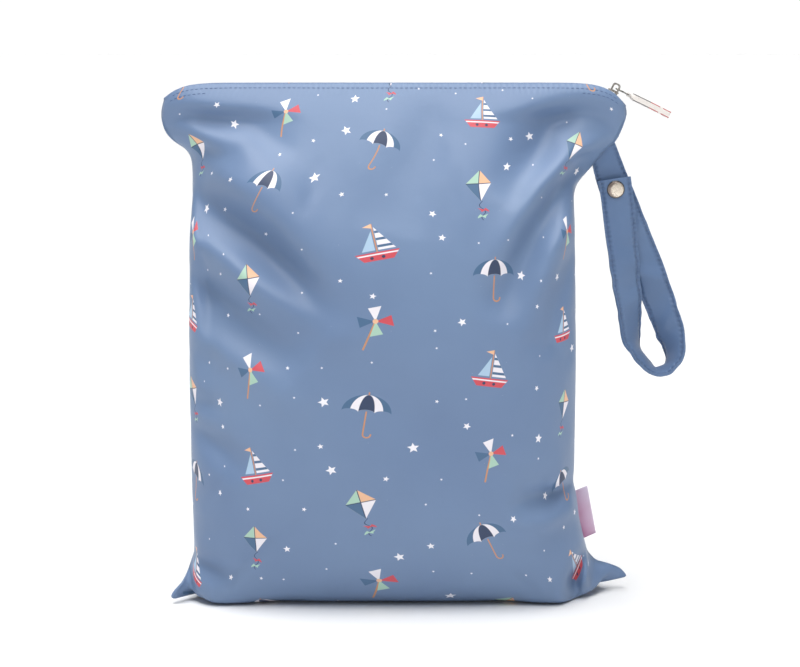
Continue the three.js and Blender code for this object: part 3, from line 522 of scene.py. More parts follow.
def umbrella(x, y):
    under = 3 - y
    left, middle, right = [oval(x, y, at, 2.8, 5.2, 2.4) for at in (-10, 0, 10)]
    scallops = left.least(middle).least(right)
    dome = oval(x, y, 0, 3, 15, 13).most(under).most(scallops * -1)
    hook = abs(oval(x, y, 2.4, -12.5, 2.4, 2.4)).most(y + 12.5) - 0.45
    yield bar(x, y, 0, -4.5, 0.45, 8.5).least(hook).least(bar(x, y, 0, 16.6, 0.4, 1.4)), TAN
    yield dome, STEEL
    yield dome.most(oval(x, y, 0, 3, 10, 13)), OFF_WHITE
    yield dome.most(oval(x, y, 0, 3, 4.8, 13)), NAVY


def sailing_boat(x, y):
    yield bar(x, y, 0, 3, 0.4, 11.5), TAN
    sail = straight(x, y, [(1, -4.6), (11.5, -4.6), (1, 12)])
    yield sail, OFF_WHITE
    yield sail.most(abs((y + 4.6) % 5.2 - 2.6) - 0.9), STEEL
    yield straight(x, y, [(-1, -4.6), (-1, 9.5), (-9, -4.6)]), SKY
    yield straight(x, y, [(0, 14.6), (-5.5, 12.9), (0, 11.2)]), PEACH
    hull = straight(x, y, [(-13.5, -6), (-9, -12), (9, -12), (13.5, -6)])
    yield hull, RED
    yield hull.most(abs(y + 7.6) - 0.5), OFF_WHITE
    yield oval(x, y, -4, -9.9, 1.1, 1.1).least(oval(x, y, 3, -9.9, 1.1, 1.1)), NAVY


def kite(x, y):
    string = x - y.wave(9) * 1.7
    yield (abs(string) - 0.3).most(abs(y + 15) - 7), NAVY
    for bow, colour in ((-14.5, RED), (-19, SAGE)):
        yield (abs(y - bow) - abs(string) * 0.45 - 0.25).most(abs(string) - 2.8), colour
    sail = straight(x, y, [(0, -8), (9.5, 5), (0, 15), (-9.5, 5)])
    yield sail, PEACH
    yield sail.most(x), SAGE
    yield sail.most((x * -1).most(y - 5)), OFF_WHITE
    yield sail.most(x.most(y - 5)), STEEL
    yield sail.most((abs(x) - 0.3).least(abs(y - 5) - 0.3)), NAVY


def pinwheel(x, y):
    yield bar(x, y, 0, -7, 0.55, 11), TAN
    turned_x, turned_y = x, y - 4
    for colour in (RED, OFF_WHITE, STEEL, SAGE):
        blade = straight(turned_x, turned_y, [(0, 0), (11.5, 0.6), (7.2, 7.4)])
        yield blade, colour
        turned_x, turned_y = turned_y, turned_x * -1
    yield oval(x, y, 0, 4, 1.7, 1.7), PEACH


def from_middle(x, y):
    """How far a point is from the middle."""
    squared = x * x + y * y
    return squared.sum("SQRT", squared)


def star(x, y, radius):
    """Distance into a star with five points."""
    angle = x.sum("ARCTAN2", x, y)
    sector = 2 * math.pi / 5
    from_tip = abs((angle + sector / 2) % sector - sector / 2)
    length = from_middle(x, y)
    along_x = length * from_tip.sum("COSINE", from_tip)
    along_y = length * from_tip.sum("SINE", from_tip)
    notch = 0.46 * radius
    bx, by = notch * math.cos(sector / 2), notch * math.sin(sector / 2)
    run = math.dist((radius, 0), (bx, by))
    nx, ny = by / run, (radius - bx) / run
    return along_x * nx + along_y * ny - radius * nx


def chances(column, row, seed):
    """Three numbers between 0 and 1 for one cell of the print."""
    cell = column.node("ShaderNodeCombineXYZ", None, {0: column, 1: row, 2: seed})
    settings = {"noise_dimensions": "3D"}
    drawn = cell.node("ShaderNodeTexWhiteNoise", settings, {"Vector": cell}, out=1)
    return [cell.node("ShaderNodeSeparateColor", None, {0: drawn}, out=i) for i in range(3)]


# The motifs stand in staggered columns, each a little off its place and leaning
column_number = (flat_u / COLUMN_STEP).floor()
staggered = flat_v + (column_number % 2) * (MOTIF_STEP / 2)
row_number = (staggered / MOTIF_STEP).floor()
slip_x, slip_y, slip_turn = chances(column_number, row_number, 7.3)
cell_x = flat_u - (column_number + 0.5) * COLUMN_STEP
cell_y = staggered - (row_number + 0.5) * MOTIF_STEP
moved_x = cell_x - (slip_x - 0.5) * MOTIF_SLIP_X
moved_y = cell_y - (slip_y - 0.5) * MOTIF_SLIP_Y
turn = (slip_turn - 0.5) * MOTIF_LEAN
cosine, sine = turn.sum("COSINE", turn), turn.sum("SINE", turn)
motif_x = (moved_x * cosine + moved_y * sine) * MOTIF_SHRINK
motif_y = (moved_y * cosine - moved_x * sine) * MOTIF_SHRINK
kind = (column_number + row_number * 2 + (row_number / 2).floor()) % 4

# The ground of the cloth is a little uneven in its dye
patches = print_place.mottle(9.0, 3.0)
colour = patches.between(0.3, 0.7).tint(dye("#687fa2"), dye("#7289aa"))

# The stars and dots are scattered, one to a cell, and those too near a motif are left out
star_column, star_row = (flat_u / STAR_STEP).floor(), (flat_v / STAR_STEP).floor()
aside, above, large = chances(star_column, star_row, 2.9)
star_u = (star_column + aside * 0.7 + 0.15) * STAR_STEP
star_v = (star_row + above * 0.7 + 0.15) * STAR_STEP
motif_column = (star_u / COLUMN_STEP).floor()
off_u = star_u - (motif_column + 0.5) * COLUMN_STEP
shifted_v = star_v + (motif_column % 2) * (MOTIF_STEP / 2)
off_v = shifted_v % MOTIF_STEP - MOTIF_STEP / 2
clear = (off_u * off_u + off_v * off_v) > STAR_CLEAR**2
star_size = (((large - 0.2) * 1.35).most(0.24) * clear).most(0.01)
leaning = (aside - above) * STAR_LEAN
cosine, sine = leaning.sum("COSINE", leaning), leaning.sum("SINE", leaning)
from_u, from_v = flat_u - star_u, flat_v - star_v
star_x = (from_u * cosine - from_v * sine) / star_size
star_y = (from_v * cosine + from_u * sine) / star_size
points = star(star_x, star_y, STAR_RADIUS) * star_size
colour = points.inside(SOFT_EDGE).tint(colour, dye("#f0eef4"))
for number, motif in enumerate((umbrella, sailing_boat, kite, pinwheel)):
    here = abs(kind - number) < 0.5
    for distance, ink in motif(motif_x, motif_y):
        colour = (distance.inside(SOFT_EDGE) * here).tint(colour, ink)

# Weave, the fine wrinkles of a coated cloth, and the puckers along its seams
weave = flat_u.wave(0.62) * flat_v.wave(0.62)
crinkle = print_place.mottle(46.0, 5.0, 0.55)
from_side = abs(abs(u) - FLAT_WIDTH / 2) * -1 + FLAT_WIDTH / 2
side_pucker = flat_v.wave(6.3) * (from_side * -140 + 1).most(0)
lip_pucker = flat_u.wave(4.1) * ((v - FLAT_HEIGHT + 0.012) * 90).most(0)
height = weave * 0.012 + crinkle * 0.55 + side_pucker * 0.16 + lip_pucker * 0.16
relief = height.bump(0.45, 0.0012)
gloss = patches * 0.14 + crinkle * 0.1 + 0.34
finish(coated_shader, start, Base_Color=colour, Roughness=gloss, Normal=relief)
finish(coated_shader, start, Specular_IOR_Level=0.35, Coat_Weight=0.12, Coat_Roughness=0.48)
finish(coated_shader, start, Sheen_Weight=0.04, Sheen_Roughness=0.5)

# Each panel is half of the settled strip, in the coated fabric with its print on the outer face.
# Its lip is turned in and hemmed, and the zip's tape is sewn inside it.
HEM_TURN = 0.0024
HEM_DEPTH = 0.008
HEM_CLEAR = 0.0036
CLOTH_THICK = 0.001


def finished_piece(name, work, body, material):
    """Makes one piece of its finished mesh work, on a body and in its material."""
    mesh = bpy.data.meshes.new(name)
    bmesh.ops.recalc_face_normals(work, faces=work.faces)
    work.to_mesh(mesh)
    work.free()
    mesh.shade_smooth()
    mesh.materials.append(material)
    made = put(name, mesh)
    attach(made, body)
    return made


def soften(piece):
    """Rounds a piece by one level of subdivision."""
    smooth = piece.modifiers.new("smooth", "SUBSURF")
    smooth.levels = smooth.render_levels = 1


def thicken(piece, thickness, offset=0):
    """Gives a sheet its thickness."""
    wall = piece.modifiers.new("wall", "SOLIDIFY")
    wall.thickness = thickness
    wall.offset = offset
    return wall


surfaces = {}
for panel, node, side in (("pouch_front", "front_panel", -1), ("pouch_back", "back_panel", 1)):
    half = bmesh.new()
    half.from_mesh(settled)
    prints = half.loops.layers.uv["print"]
    half.verts.ensure_lookup_table()
    lip = {half.verts[cloth_index[side, column, ROWS]] for column in range(COLUMNS + 1)}
    gone = [f for f in half.faces if sum(loop[prints].uv.x for loop in f.loops) * side < 0]
    bmesh.ops.delete(half, geom=gone, context="FACES")
    edges = [edge for edge in half.edges if edge.is_boundary]
    rims = [edge for edge in edges if all(vert in lip for vert in edge.verts)]
    for inward, down in ((0.5, -0.0004), (0.5, 0.0008), (0, HEM_DEPTH)):
        made = bmesh.ops.extrude_edge_only(half, edges=rims)["geom"]
        rims = [part for part in made if isinstance(part, bmesh.types.BMEdge)]
        for vert in {vert for edge in rims for vert in edge.verts}:
            room = max(abs(vert.co.y - SEAM_Y) - HEM_CLEAR, 0)
            vert.co.y -= side * inward * min(HEM_TURN, room)
            vert.co.z -= down
    piece = finished_piece(panel, half, "bag", coated)
    soften(piece)
    thicken(piece, CLOTH_THICK, -1)
    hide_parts(node)
    surfaces[side] = BVHTree.FromObject(piece, bpy.context.evaluated_depsgraph_get())

# The lips are sewn to the zip's tapes with blue polyester thread: a row just under each edge and a
# short second row at both ends.
STITCH = 0.0026
STITCH_STEP = 0.0034
THREAD_HALF = 0.0003
# How far below the lip each row runs, and where along it the row begins and ends
LIP_ROWS = ((0.0023, -0.965, 0.965), (0.0062, -0.97, -0.8), (0.0062, 0.8, 0.97))
thread, thread_shader, start = new_material("polyester_thread")
(x, _, z), _ = spread(start, "ShaderNodeTexCoord", out=3)
twist = (x + z * 1.7).wave(0.0008) * 0.5 + 0.5
finish(thread_shader, start, Base_Color=twist.tint(dye("#384c71"), dye("#5f779f")), Roughness=0.6)


def sew(work, a, b, thickness):
    """Adds one stitch between two points."""
    turn_to = (b - a).to_track_quat("Z", "Y").to_matrix().to_4x4()
    size = Matrix.Diagonal((thickness, thickness, (b - a).length / 2, 1))
    set_in = Matrix.Translation((a + b) / 2) @ turn_to @ size
    bmesh.ops.create_uvsphere(work, u_segments=6, v_segments=4, radius=1, matrix=set_in)


for side, name in ((-1, "lip_stitching_front"), (1, "lip_stitching_back")):
    work = bmesh.new()
    for below, first, last in LIP_ROWS:
        steps = int((last - first) * FLAT_WIDTH / 2 / STITCH_STEP)
        for i in range(steps):
            ends = []
            for share in (0, STITCH / STITCH_STEP):
                across = first + (last - first) * (i + share) / steps
                spot = on_cloth(side, across, 1 - below / FLAT_HEIGHT)
                outside = spot + Vector((0, side * 0.002, 0))
                ends.append(surfaces[side].find_nearest(outside)[0])
            sew(work, ends[0], ends[1], THREAD_HALF)
    finished_piece(name, work, "bag", thread)

# The zip is a nylon coil on two woven tapes. Each tape runs level from beside the coil to the hem
# of its panel, where it is turned down and sewn in.
MOUTH_LEFT, MOUTH_RIGHT = LEFT_SEAM[-1][0], RIGHT_SEAM[-1][0]
ZIP_START = -0.1416
COIL_END = 0.157
TAPE_END = 0.1632
TAPE_DROP = 0.003
TAPE_THICK = 0.0006
TAPE_TURNED = 0.0065
TAPE_BEND = 0.0004
# Half the gap between the tapes, and how much wider the slider spreads them
TAPE_GAP = 0.0003
SLIDER_SPREAD = 0.0018


def zip_height(x):
    """The height of the zip's tapes at a place along the mouth."""
    across = (2 * x - MOUTH_LEFT - MOUTH_RIGHT) / (MOUTH_RIGHT - MOUTH_LEFT)
    return on_cloth(-1, across, 1).z - TAPE_DROP


tape_stuff, tape_shader, start = new_material("zip_tape_weave")
(s, t, _), _ = spread(start, "ShaderNodeUVMap", {"uv_map": "tape"})
ribs = (s + abs(t % 0.002 - 0.001) * 0.8).wave(0.0009)
tape_colour = (ribs * 0.5 + 0.5).tint(dye("#62779c"), dye("#7f94b8"))
relief = ribs.bump(0.5, 0.0002)
finish(tape_shader, start, Base_Color=tape_colour, Normal=relief, Roughness=0.8)

for side, name in ((-1, "zip_tape_front"), (1, "zip_tape_back")):
    work = mapped_grid(150, 8, "tape", lambda x, y: ((x + 1) * 0.15, (y + 1) * 0.006))
    rooms = {}
    for vert in work.verts:
        x = ZIP_START + (TAPE_END - ZIP_START) * (vert.co.x + 1) / 2
        part = (vert.co.y + 1) / 2
        top = zip_height(x)
        if x not in rooms:
            outward = Vector((0, side, 0))
            starts = [Vector((x, SEAM_Y, top - drop)) for drop in (0, TAPE_TURNED)]
            hits = [surfaces[side].ray_cast(begin, outward)[3] for begin in starts]
            rooms[x] = [min(hit or 0.0045, 0.0062) - 0.0005 for hit in hits]
        level, low = rooms[x]
        inner = TAPE_GAP + SLIDER_SPREAD * ease(x, 0.1562, 0.1578)
        if part <= 0.5:
            off = inner + (level - inner) * part * 2
            drop = TAPE_BEND * (part * 2) ** 6
        else:
            off = level + (low - level) * (part * 2 - 1)
            drop = TAPE_BEND + (TAPE_TURNED - TAPE_BEND) * (part * 2 - 1)
        vert.co = Vector((x, SEAM_Y + side * off, top - drop))
    tape = finished_piece(name + "_woven", work, "bag", tape_stuff)
    thicken(tape, TAPE_THICK)
    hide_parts(name)

# The coil is two nylon monofilaments, one wound on to the edge of each tape. Their loops lock into
# each other from both sides.
COIL_STEP = 0.0012
COIL_TOOTH = (0.00078, 0.0034, 0.0012)
COIL_ROUND = 0.00026
coil_stuff, coil_shader, start = new_material("coil_nylon")
_, place = spread(start, "ShaderNodeTexCoord", out=3)
drawn = place.mottle(900.0)
nylon = drawn.tint(dye("#5b7095"), dye("#8296b8"))
finish(coil_shader, start, Base_Color=nylon, Roughness=drawn * 0.2 + 0.25)

work = bmesh.new()
for i in range(int((COIL_END - ZIP_START) / COIL_STEP)):
    x = ZIP_START + (i + 0.5) * COIL_STEP
    slope = math.atan2(zip_height(x - 0.001) - zip_height(x + 0.001), 0.002)
    spot = Vector((x, SEAM_Y + (0.0004 if i % 2 else -0.0004), zip_height(x) + 0.001))
    shape = Matrix.Rotation(slope, 4, "Y") @ Matrix.Diagonal((*COIL_TOOTH, 1))
    bmesh.ops.create_cube(work, size=1, matrix=Matrix.Translation(spot) @ shape)
bmesh.ops.bevel(
    work, geom=work.edges[:], offset=COIL_ROUND, segments=1, profile=0.5, affect="EDGES",
    material=-1,
)
coil = finished_piece("zip_coil_teeth", work, "bag", coil_stuff)
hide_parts("zip_coil")

# The slider is a zinc casting with a wire bridge, and the pull hangs in it by a wire link. Both are
# nickel plated, and rubbed dull at the edges.
nickel, nickel_shader, start = new_material("worn_nickel")
_, place = spread(start, "ShaderNodeTexCoord", out=3)
rubbed = place.mottle(700.0, 4.0)
relief = rubbed.bump(0.25, 0.0001)
worn = rubbed.between(0.35, 0.7)
finish(nickel_shader, start, Base_Color=worn.tint(dye("#6f6b66"), dye("#b3afa8")), Normal=relief)
finish(nickel_shader, start, Roughness=worn * 0.22 + 0.16, Metallic=1.0)
for node in ("zip_slider", "pull_link", "snap_socket", "snap_stud", "snap_back"):
    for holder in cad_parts[node].material_slots:
        holder.material = nickel

# The pull is a woven ribbon, folded round the link, turned by a quarter and sewn to itself. Both of
# its edges have a woven line, dark grey near the link and red further out.
PIVOT = Vector((0.16135, 0.006, 0.3572))
PULL_DROOP = math.radians(26)
LINK_LENGTH = 0.0094
RIBBON_LENGTH = 0.032
RIBBON_HALF = 0.00245
RIBBON_NECK = 0.0014
RIBBON_THICK = 0.0006
RIBBON_EYE = 0.0012
RIBBON_PLY = 0.00042
RIBBON_TURN = math.radians(82)
RIBBON_SWAY = 0.0006
ribbon_stuff, ribbon_shader, start = new_material("woven_ribbon")
(s, t, _), _ = spread(start, "ShaderNodeUVMap", {"uv_map": "ribbon"})
run, off = abs(s) * 1000, abs(t) * 1000
line = (abs(off - 1.98) - 0.27).inside(0.1)
shown = line * (1 - (run > 23.6) * (run < 25.6)) * (run > 2.5)
red_part = (run > 16.4) * 1.0
picks = (s.wave(0.00055) * t.wave(0.0005)) * 0.5 + 0.5
ground = picks.tint(dye("#dcd5cf"), dye("#f4efea"))
ribbon_colour = shown.tint(ground, red_part.tint(dye("#3f4047"), dye("#b83440")))
relief = (picks + line * 0.6).bump(0.5, 0.00015)
finish(ribbon_shader, start, Base_Color=ribbon_colour, Normal=relief)
finish(ribbon_shader, start, Roughness=0.75, Sheen_Weight=0.2)

ahead = Vector((math.cos(PULL_DROOP), 0, -math.sin(PULL_DROOP)))
above = Vector((math.sin(PULL_DROOP), 0, math.cos(PULL_DROOP)))
eye_place = PIVOT + LINK_LENGTH * ahead


def ribbon_ways(turn):
    """The ways across the ribbon and through it, once it has turned by an angle."""
    sideways = Vector((0, 1, 0))
    wide = math.cos(turn) * sideways + math.sin(turn) * above
    return wide, math.cos(turn) * above - math.sin(turn) * sideways


# Its path, as runs along the pull and heights over its middle: in, round the link and out again
upper = [(RIBBON_LENGTH - i * (RIBBON_LENGTH - 0.0042) / 22, RIBBON_PLY) for i in range(23)]
upper.append((0.0028, 0.0006))
angles = [math.radians(a) for a in range(50, 311, 20)]
bend = [(RIBBON_EYE * math.cos(a), RIBBON_EYE * math.sin(a)) for a in angles]
ribbon_path = upper + bend + [(s, -h) for s, h in reversed(upper)]


def row_at(rows, x):
    """The row of a table at a place from -1 to 1."""
    return rows[round((x + 1) / 2 * (len(rows) - 1))]


def ribbon_spot(x, y):
    s, h = row_at(ribbon_path, x)
    return (s if h > 0 else -s), y * RIBBON_HALF


work = mapped_grid(len(ribbon_path) - 1, 8, "ribbon", ribbon_spot)
for vert in work.verts:
    s, h = row_at(ribbon_path, vert.co.x)
    half = RIBBON_NECK + (RIBBON_HALF - RIBBON_NECK) * ease(s, 0.0006, 0.0036)
    sway = RIBBON_SWAY * math.sin(s / RIBBON_LENGTH * math.pi * 1.3) * ease(s, 0.002, 0.012)
    wide, through = ribbon_ways(RIBBON_TURN * ease(s, 0.0008, 0.0042))
    vert.co = eye_place + s * ahead + (h + sway) * through + vert.co.y * half * wide
ribbon = finished_piece("pull_ribbon", work, "pull", ribbon_stuff)
thicken(ribbon, RIBBON_THICK)


def round_edges(piece, width, segments, from_angle):
    """Rounds the edges of a piece that are sharper than an angle."""
    edge = piece.modifiers.new("edge", "BEVEL")
    edge.width = width
    edge.segments = segments
    edge.angle_limit = math.radians(from_angle)


round_edges(ribbon, 0.00016, 2, 30)
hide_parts("pull_tab")

# The ribbon's two ends are sewn together near the link with four stitches of pale thread, which
# show on both faces.
PULL_STITCH = 0.0008
PULL_STITCH_STEP = 0.00105
PULL_SEAM = 0.0074
pale_thread, pale_shader, start = new_material("pale_thread")
(x, _, z), _ = spread(start, "ShaderNodeTexCoord", out=3)
twist = (x + z).wave(0.0006) * 0.5 + 0.5
finish(pale_shader, start, Base_Color=twist.tint(dye("#cfc7c0"), dye("#efe9e3")), Roughness=0.7)
work = bmesh.new()
wide, through = ribbon_ways(RIBBON_TURN)
for way in (-1, 1):
    face_off = way * (RIBBON_PLY + RIBBON_THICK / 2 + 0.0001) + 0.0003
    for i in range(4):
        spot = eye_place + PULL_SEAM * ahead + face_off * through
        spot += (i - 1.5) * PULL_STITCH_STEP * wide
        sew(work, spot - PULL_STITCH / 2 * wide, spot + PULL_STITCH / 2 * wide, 0.00013)
finished_piece("pull_stitching", work, "pull", pale_thread)

# The wrist strap is a folded strip of the bag's own fabric, sewn along both edges. Its one end is
# caught in the right-hand seam and its other end is turned under and snaps on to it.
STRAP_WIDTH = 0.0224
STRAP_THICK = 0.0026
STRAP_STEPS = 190
# Places across the strap, in millimetres, close together at its edges and its seams
STRAP_COLUMNS = (
    -11.2, -11.0, -10.4, -9.7, -9.3, -8.9, -8.2, -6.0, -3.0, 0,
    3.0, 6.0, 8.2, 8.9, 9.3, 9.7, 10.4, 11.0, 11.2,
)
STRAP_SEAM = 0.0093
# Points of its middle line, the tilt of its outer edge to the front and the skew of its sewn end
STRAP_ROUTE = [
    (0.1525, 0.0060, 0.3146, 0, 32), (0.1536, 0.0060, 0.3115, 0, 29),
    (0.1596, 0.0076, 0.2942, 0, 14), (0.1671, 0.0076, 0.2757, 0, 0),
    (0.1765, 0.0085, 0.2538, 0, 0), (0.1851, 0.0094, 0.2332, 4, 0),
    (0.1926, 0.0100, 0.2127, 10, 0), (0.2000, 0.0100, 0.1936, 29, 0),
    (0.2036, 0.0091, 0.1824, 44, 0), (0.2050, 0.0080, 0.1701, 64, 0),
    (0.2018, 0.0069, 0.1620, 80, 0), (0.1952, 0.0060, 0.1585, 90, 0),
    (0.1897, 0.0056, 0.1608, 82, 0), (0.1842, 0.0051, 0.1666, 76, 0),
    (0.1784, 0.0044, 0.1746, 66, 0), (0.1744, 0.0031, 0.1879, 50, 0),
    (0.1716, 0.0011, 0.2086, 34, 0), (0.1690, 0.0004, 0.2289, 27, 0),
    (0.1660, 0.0008, 0.2545, 12, 0), (0.1632, 0.0015, 0.2765, 0, 0),
    (0.1603, 0.0015, 0.2953, 0, 0),
]


def route_point(route, share):
    """A row of a route's table at a share of its rows, on a smooth curve through them."""
    place = share * (len(route) - 1)
    i = min(int(place), len(route) - 2)
    t = place - i
    rows = [route[min(max(i + k, 0), len(route) - 1)] for k in (-1, 0, 1, 2)]
    return [
        0.5 * (
            2 * b + (c - a) * t + (2 * a - 5 * b + 4 * c - d) * t * t
            + (3 * b - a - 3 * c + d) * t**3
        )
        for a, b, c, d in zip(*rows)
    ]


ROUTE_STEPS = 400
shares = [i / ROUTE_STEPS for i in range(ROUTE_STEPS + 1)]
route_spots = [Vector(route_point(STRAP_ROUTE, share)[:3]) for share in shares]
route_lengths = [0]
for a, b in zip(route_spots, route_spots[1:]):
    route_lengths.append(route_lengths[-1] + (b - a).length)
STRAP_LENGTH = route_lengths[-1]


def strap_frame(share):
    """The strap's middle and the ways across it and through it, at a share of its length."""
    i = min(max(bisect.bisect(route_lengths, share * STRAP_LENGTH), 1), ROUTE_STEPS)
    low, high = route_lengths[i - 1], route_lengths[i]
    share = (i - 1 + (share * STRAP_LENGTH - low) / (high - low)) / ROUTE_STEPS
    here = route_point(STRAP_ROUTE, share)
    before = route_point(STRAP_ROUTE, max(share - 0.004, 0))
    after = route_point(STRAP_ROUTE, min(share + 0.004, 1))
    ahead = (Vector(after[:3]) - Vector(before[:3])).normalized()
    outer = Vector((-ahead.z, 0, ahead.x)).normalized()
    tilt, skew = math.radians(here[3]), math.radians(here[4])
    wide = outer * math.cos(tilt) + Vector((0, -1, 0)) * math.sin(tilt)
    wide = (wide * math.cos(skew) - ahead * math.sin(skew)).normalized()
    return Vector(here[:3]), wide, wide.cross(ahead).normalized()


strap_stuff, strap_shader, start = new_material("strap_fabric")
(s, t, _), strap_place = spread(start, "ShaderNodeUVMap", {"uv_map": "strap"})
patches = strap_place.mottle(24.0, 3.0)
crinkle = strap_place.mottle(120.0, 4.0)
near_seam = 1 - (abs(abs(t) - STRAP_SEAM) * 420).least(1)
puckers = s.wave(STITCH_STEP) * near_seam
weave = s.wave(0.0006) * t.wave(0.0006)
height = crinkle * 0.5 + puckers * 0.6 + weave * 0.03 - near_seam * 0.5
relief = height.bump(0.6, 0.0009)
strap_ground = patches.tint(dye("#526b90"), dye("#6780a4"))
# Along both stitch lines the cloth is painted darker: painted shade in the sewn-down groove.
strap_colour_and_groove_shade = (near_seam * 0.45).tint(strap_ground, dye("#435878"))
finish(strap_shader, start, Base_Color=strap_colour_and_groove_shade, Normal=relief, Roughness=patches * 0.15 + 0.42)
finish(strap_shader, start, Specular_IOR_Level=0.4, Sheen_Weight=0.1)
finish(strap_shader, start, Coat_Weight=0.05, Coat_Roughness=0.4)


def strap_spot(x, y):
    return (x + 1) / 2 * STRAP_LENGTH, row_at(STRAP_COLUMNS, y) / 1000


work = mapped_grid(STRAP_STEPS, len(STRAP_COLUMNS) - 1, "strap", strap_spot)
# Its soft folds: where each lies along the strap, how it leans, its half width and its depth
STRAP_FOLDS = [
    (0.062, 0.5, 0.005, -0.0015), (0.094, -0.6, 0.006, -0.0021), (0.131, 0.9, 0.0045, -0.0018),
    (0.112, 0.3, 0.007, 0.0012), (0.2, -0.5, 0.008, 0.0015), (0.232, 0.4, 0.006, -0.0012),
    (0.262, -0.5, 0.009, -0.0012), (0.165, 0.5, 0.004, -0.0012),
]
full_thickness = []
for vert in work.verts:
    run, across = strap_spot(vert.co.x, vert.co.y)
    share, edge_share = (vert.co.x + 1) / 2, min(abs(across) / (STRAP_WIDTH / 2), 1)
    middle, wide, thick = strap_frame(share)
    loose = ease(share, 0.05, 0.15) * (1 - ease(share, 0.86, 0.95))
    ripple = noise.noise(Vector((run * 150, across * 120, 3.1))) * 0.0009 * edge_share
    billow = noise.noise(Vector((run * 48, across * 60, 1.4))) * 0.0012 * loose
    for place, lean, wide_half, depth in STRAP_FOLDS:
        billow += depth * math.exp(-(((run - place + lean * across) / wide_half) ** 2)) * loose
    wander = noise.noise(Vector((share * 9, 0, 7.7))) * 0.0005
    cup = 0.0007 * (edge_share**2 - 0.4) * ease(share, 0.02, 0.1)
    vert.co = middle + wide * (across + wander * edge_share) + thick * (ripple + billow + cup)
    sewn_down = math.exp(-(((abs(across) - STRAP_SEAM) / 0.0006) ** 2))
    body_share = 1 - 0.4 * sewn_down - 0.25 * edge_share**2
    full_thickness.append(body_share * (0.35 + 0.65 * ease(run, 0.0035, 0.009)))
strap = finished_piece("strap_ribbon", work, "bag", strap_stuff)
full = strap.vertex_groups.new(name="thickness")
for vert, weight in zip(strap.data.vertices, full_thickness):
    full.add([vert.index], weight, "REPLACE")
thicken(strap, STRAP_THICK).vertex_group = "thickness"
round_edges(strap, 0.0006, 3, 60)
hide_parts("wrist_strap")
strap_surface = BVHTree.FromObject(strap, bpy.context.evaluated_depsgraph_get())

# The strap is sewn along both edges with the pouch's thread
work = bmesh.new()
stitches = int(STRAP_LENGTH / STITCH_STEP)
for face_side in (-1, 1):
    for row in (-STRAP_SEAM, STRAP_SEAM):
        for i in range(3, stitches - 2):
            ends = []
            for share in (i / stitches, (i + STITCH / STITCH_STEP) / stitches):
                middle, wide, thick = strap_frame(share)
                outward = thick * face_side
                guess = middle + wide * row + outward * STRAP_THICK
                hit = strap_surface.ray_cast(guess + outward * 0.002, -outward)[0]
                ends.append((hit or guess) + outward * 0.00004)
            sew(work, ends[0], ends[1], THREAD_HALF * 0.9)
finished_piece("strap_stitching", work, "bag", thread)

# The snap's cap is a pressed brass shell with a pale enamel face and a rolled rim. Its socket, stud
# and back are nickel plated, as the zip's slider is.
CAP_PLACE = Vector((0.16146, 0.0001, 0.28811))
cap_stuff, cap_shader, start = new_material("snap_enamel")
(x, _, z), place = spread(start, "ShaderNodeTexCoord", out=3)
away_x, away_z = x - CAP_PLACE.x, z - CAP_PLACE.z
# The rim is painted dark grey: a painted dark reflection round the edge of the cap.
rim = from_middle(away_x, away_z).between(0.0051, 0.0055)
brushed = place.mottle(500.0, 3.0)
# A painted dark reflection lies in a crescent along the rim, on the cap's left side.
painted_dark_reflection = from_middle(away_x - 0.0015, away_z + 0.0003).between(0.0044, 0.0054)
face_colour = painted_dark_reflection.tint(brushed.tint(dye("#d6c9b8"), dye("#e6dccd")), dye("#8b7d75"))
finish(cap_shader, start, Base_Color=rim.tint(face_colour, dye("#5c5854")), Coat_Weight=0.4)
finish(cap_shader, start, Metallic=rim * 0.35 + 0.6, Roughness=brushed * 0.05 + 0.25)

work = bmesh.new()
cap_profile = [
    (0.0, 0.0016), (0.0022, 0.00155), (0.004, 0.00138), (0.0049, 0.0011), (0.0052, 0.00085),
    (0.0055, 0.00095), (0.0059, 0.0009), (0.0062, 0.0005), (0.0061, 0.0001), (0.0057, 0.0),
    (0.0, 0.0),
]
ring = [work.verts.new(CAP_PLACE + Vector((out, -rise, 0))) for out, rise in cap_profile]
outline = [work.edges.new(pair) for pair in zip(ring, ring[1:])]
bmesh.ops.spin(
    work, geom=ring + outline, cent=CAP_PLACE, axis=(0, 1, 0), angle=2 * math.pi, steps=40,
    use_merge=True,
)
bmesh.ops.remove_doubles(work, verts=work.verts, dist=1e-6)
cap = finished_piece("snap_cap_shell", work, "bag", cap_stuff)
soften(cap)
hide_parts("snap_cap")

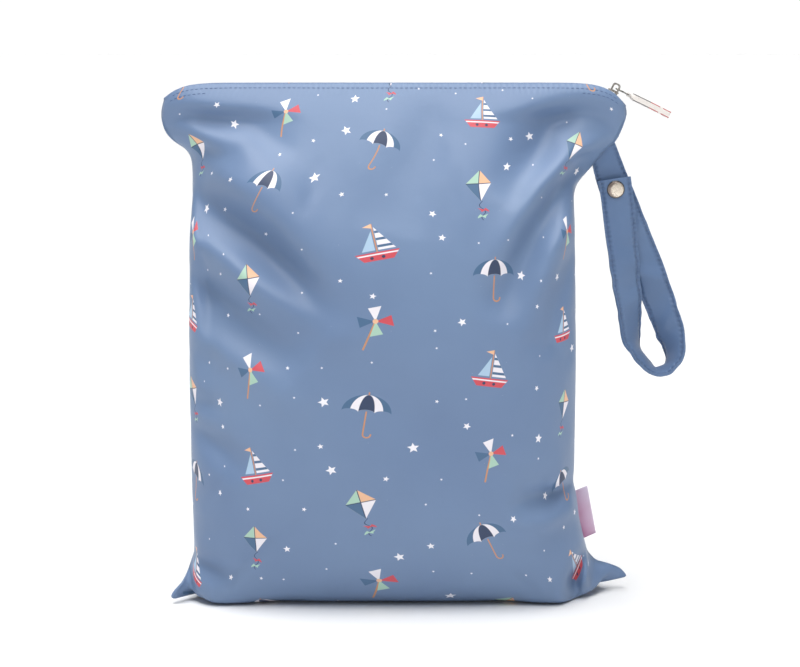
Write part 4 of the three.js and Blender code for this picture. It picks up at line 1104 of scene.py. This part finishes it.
# The label is a short satin ribbon, folded over and caught in the right-hand seam by both ends. It
# stands out a little further at its top.
LABEL_LOW = Vector((0.1431, 0.006, 0.0382))
LABEL_HIGH = Vector((0.1332, 0.006, 0.0712))
LABEL_OUT = Vector((0.914, 0, 0.405))
LABEL_REACH = 0.0094
LABEL_FLARE = 0.0036
LABEL_FOLD = 0.00045
LABEL_THICK = 0.0003
LABEL_CURL = 0.0007
LABEL_HALF = 0.0168
satin, satin_shader, start = new_material("satin_label")
(s, t, _), place = spread(start, "ShaderNodeUVMap", {"uv_map": "label"})
floats = s.wave(0.00028) * 0.5 + 0.5
shade = place.mottle(60.0)
# The satin is paler towards its fold and its top, and in soft patches.
paler_to_fold_and_top = (shade * 0.6 - 0.2 + s * 75 + t * 14).least(1).most(0)
relief = floats.bump(0.3, 0.0001)
satin_colour = paler_to_fold_and_top.tint(dye("#c282a8"), dye("#dfcfe2"))
finish(satin_shader, start, Base_Color=satin_colour, Normal=relief, Roughness=shade * 0.15 + 0.3)
finish(satin_shader, start, Sheen_Weight=0.5, Sheen_Roughness=0.3)

straight_end = LABEL_REACH - LABEL_FOLD
flat_run = [(i / 9 * straight_end, -LABEL_FOLD) for i in range(10)]
angles = [math.radians(a) for a in range(-75, 76, 25)]
fold = [(straight_end + LABEL_FOLD * math.cos(a), LABEL_FOLD * math.sin(a)) for a in angles]
label_path = flat_run + fold + [(out, LABEL_FOLD) for out, _ in reversed(flat_run)]
work = mapped_grid(
    len(label_path) - 1, 14, "label", lambda x, y: (row_at(label_path, x)[0], y * LABEL_HALF)
)
for vert in work.verts:
    out, off = row_at(label_path, vert.co.x)
    share = (vert.co.y + 1) / 2
    curl = LABEL_CURL * math.sin(share * math.pi * 1.2 + 0.4) * (out / LABEL_REACH) ** 1.5
    reach = out * (1 + share * LABEL_FLARE / LABEL_REACH)
    vert.co = LABEL_LOW.lerp(LABEL_HIGH, share) + LABEL_OUT * reach + Vector((0, off + curl, 0))
label = finished_piece("side_label_satin", work, "bag", satin)
thicken(label, LABEL_THICK)
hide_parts("side_label")
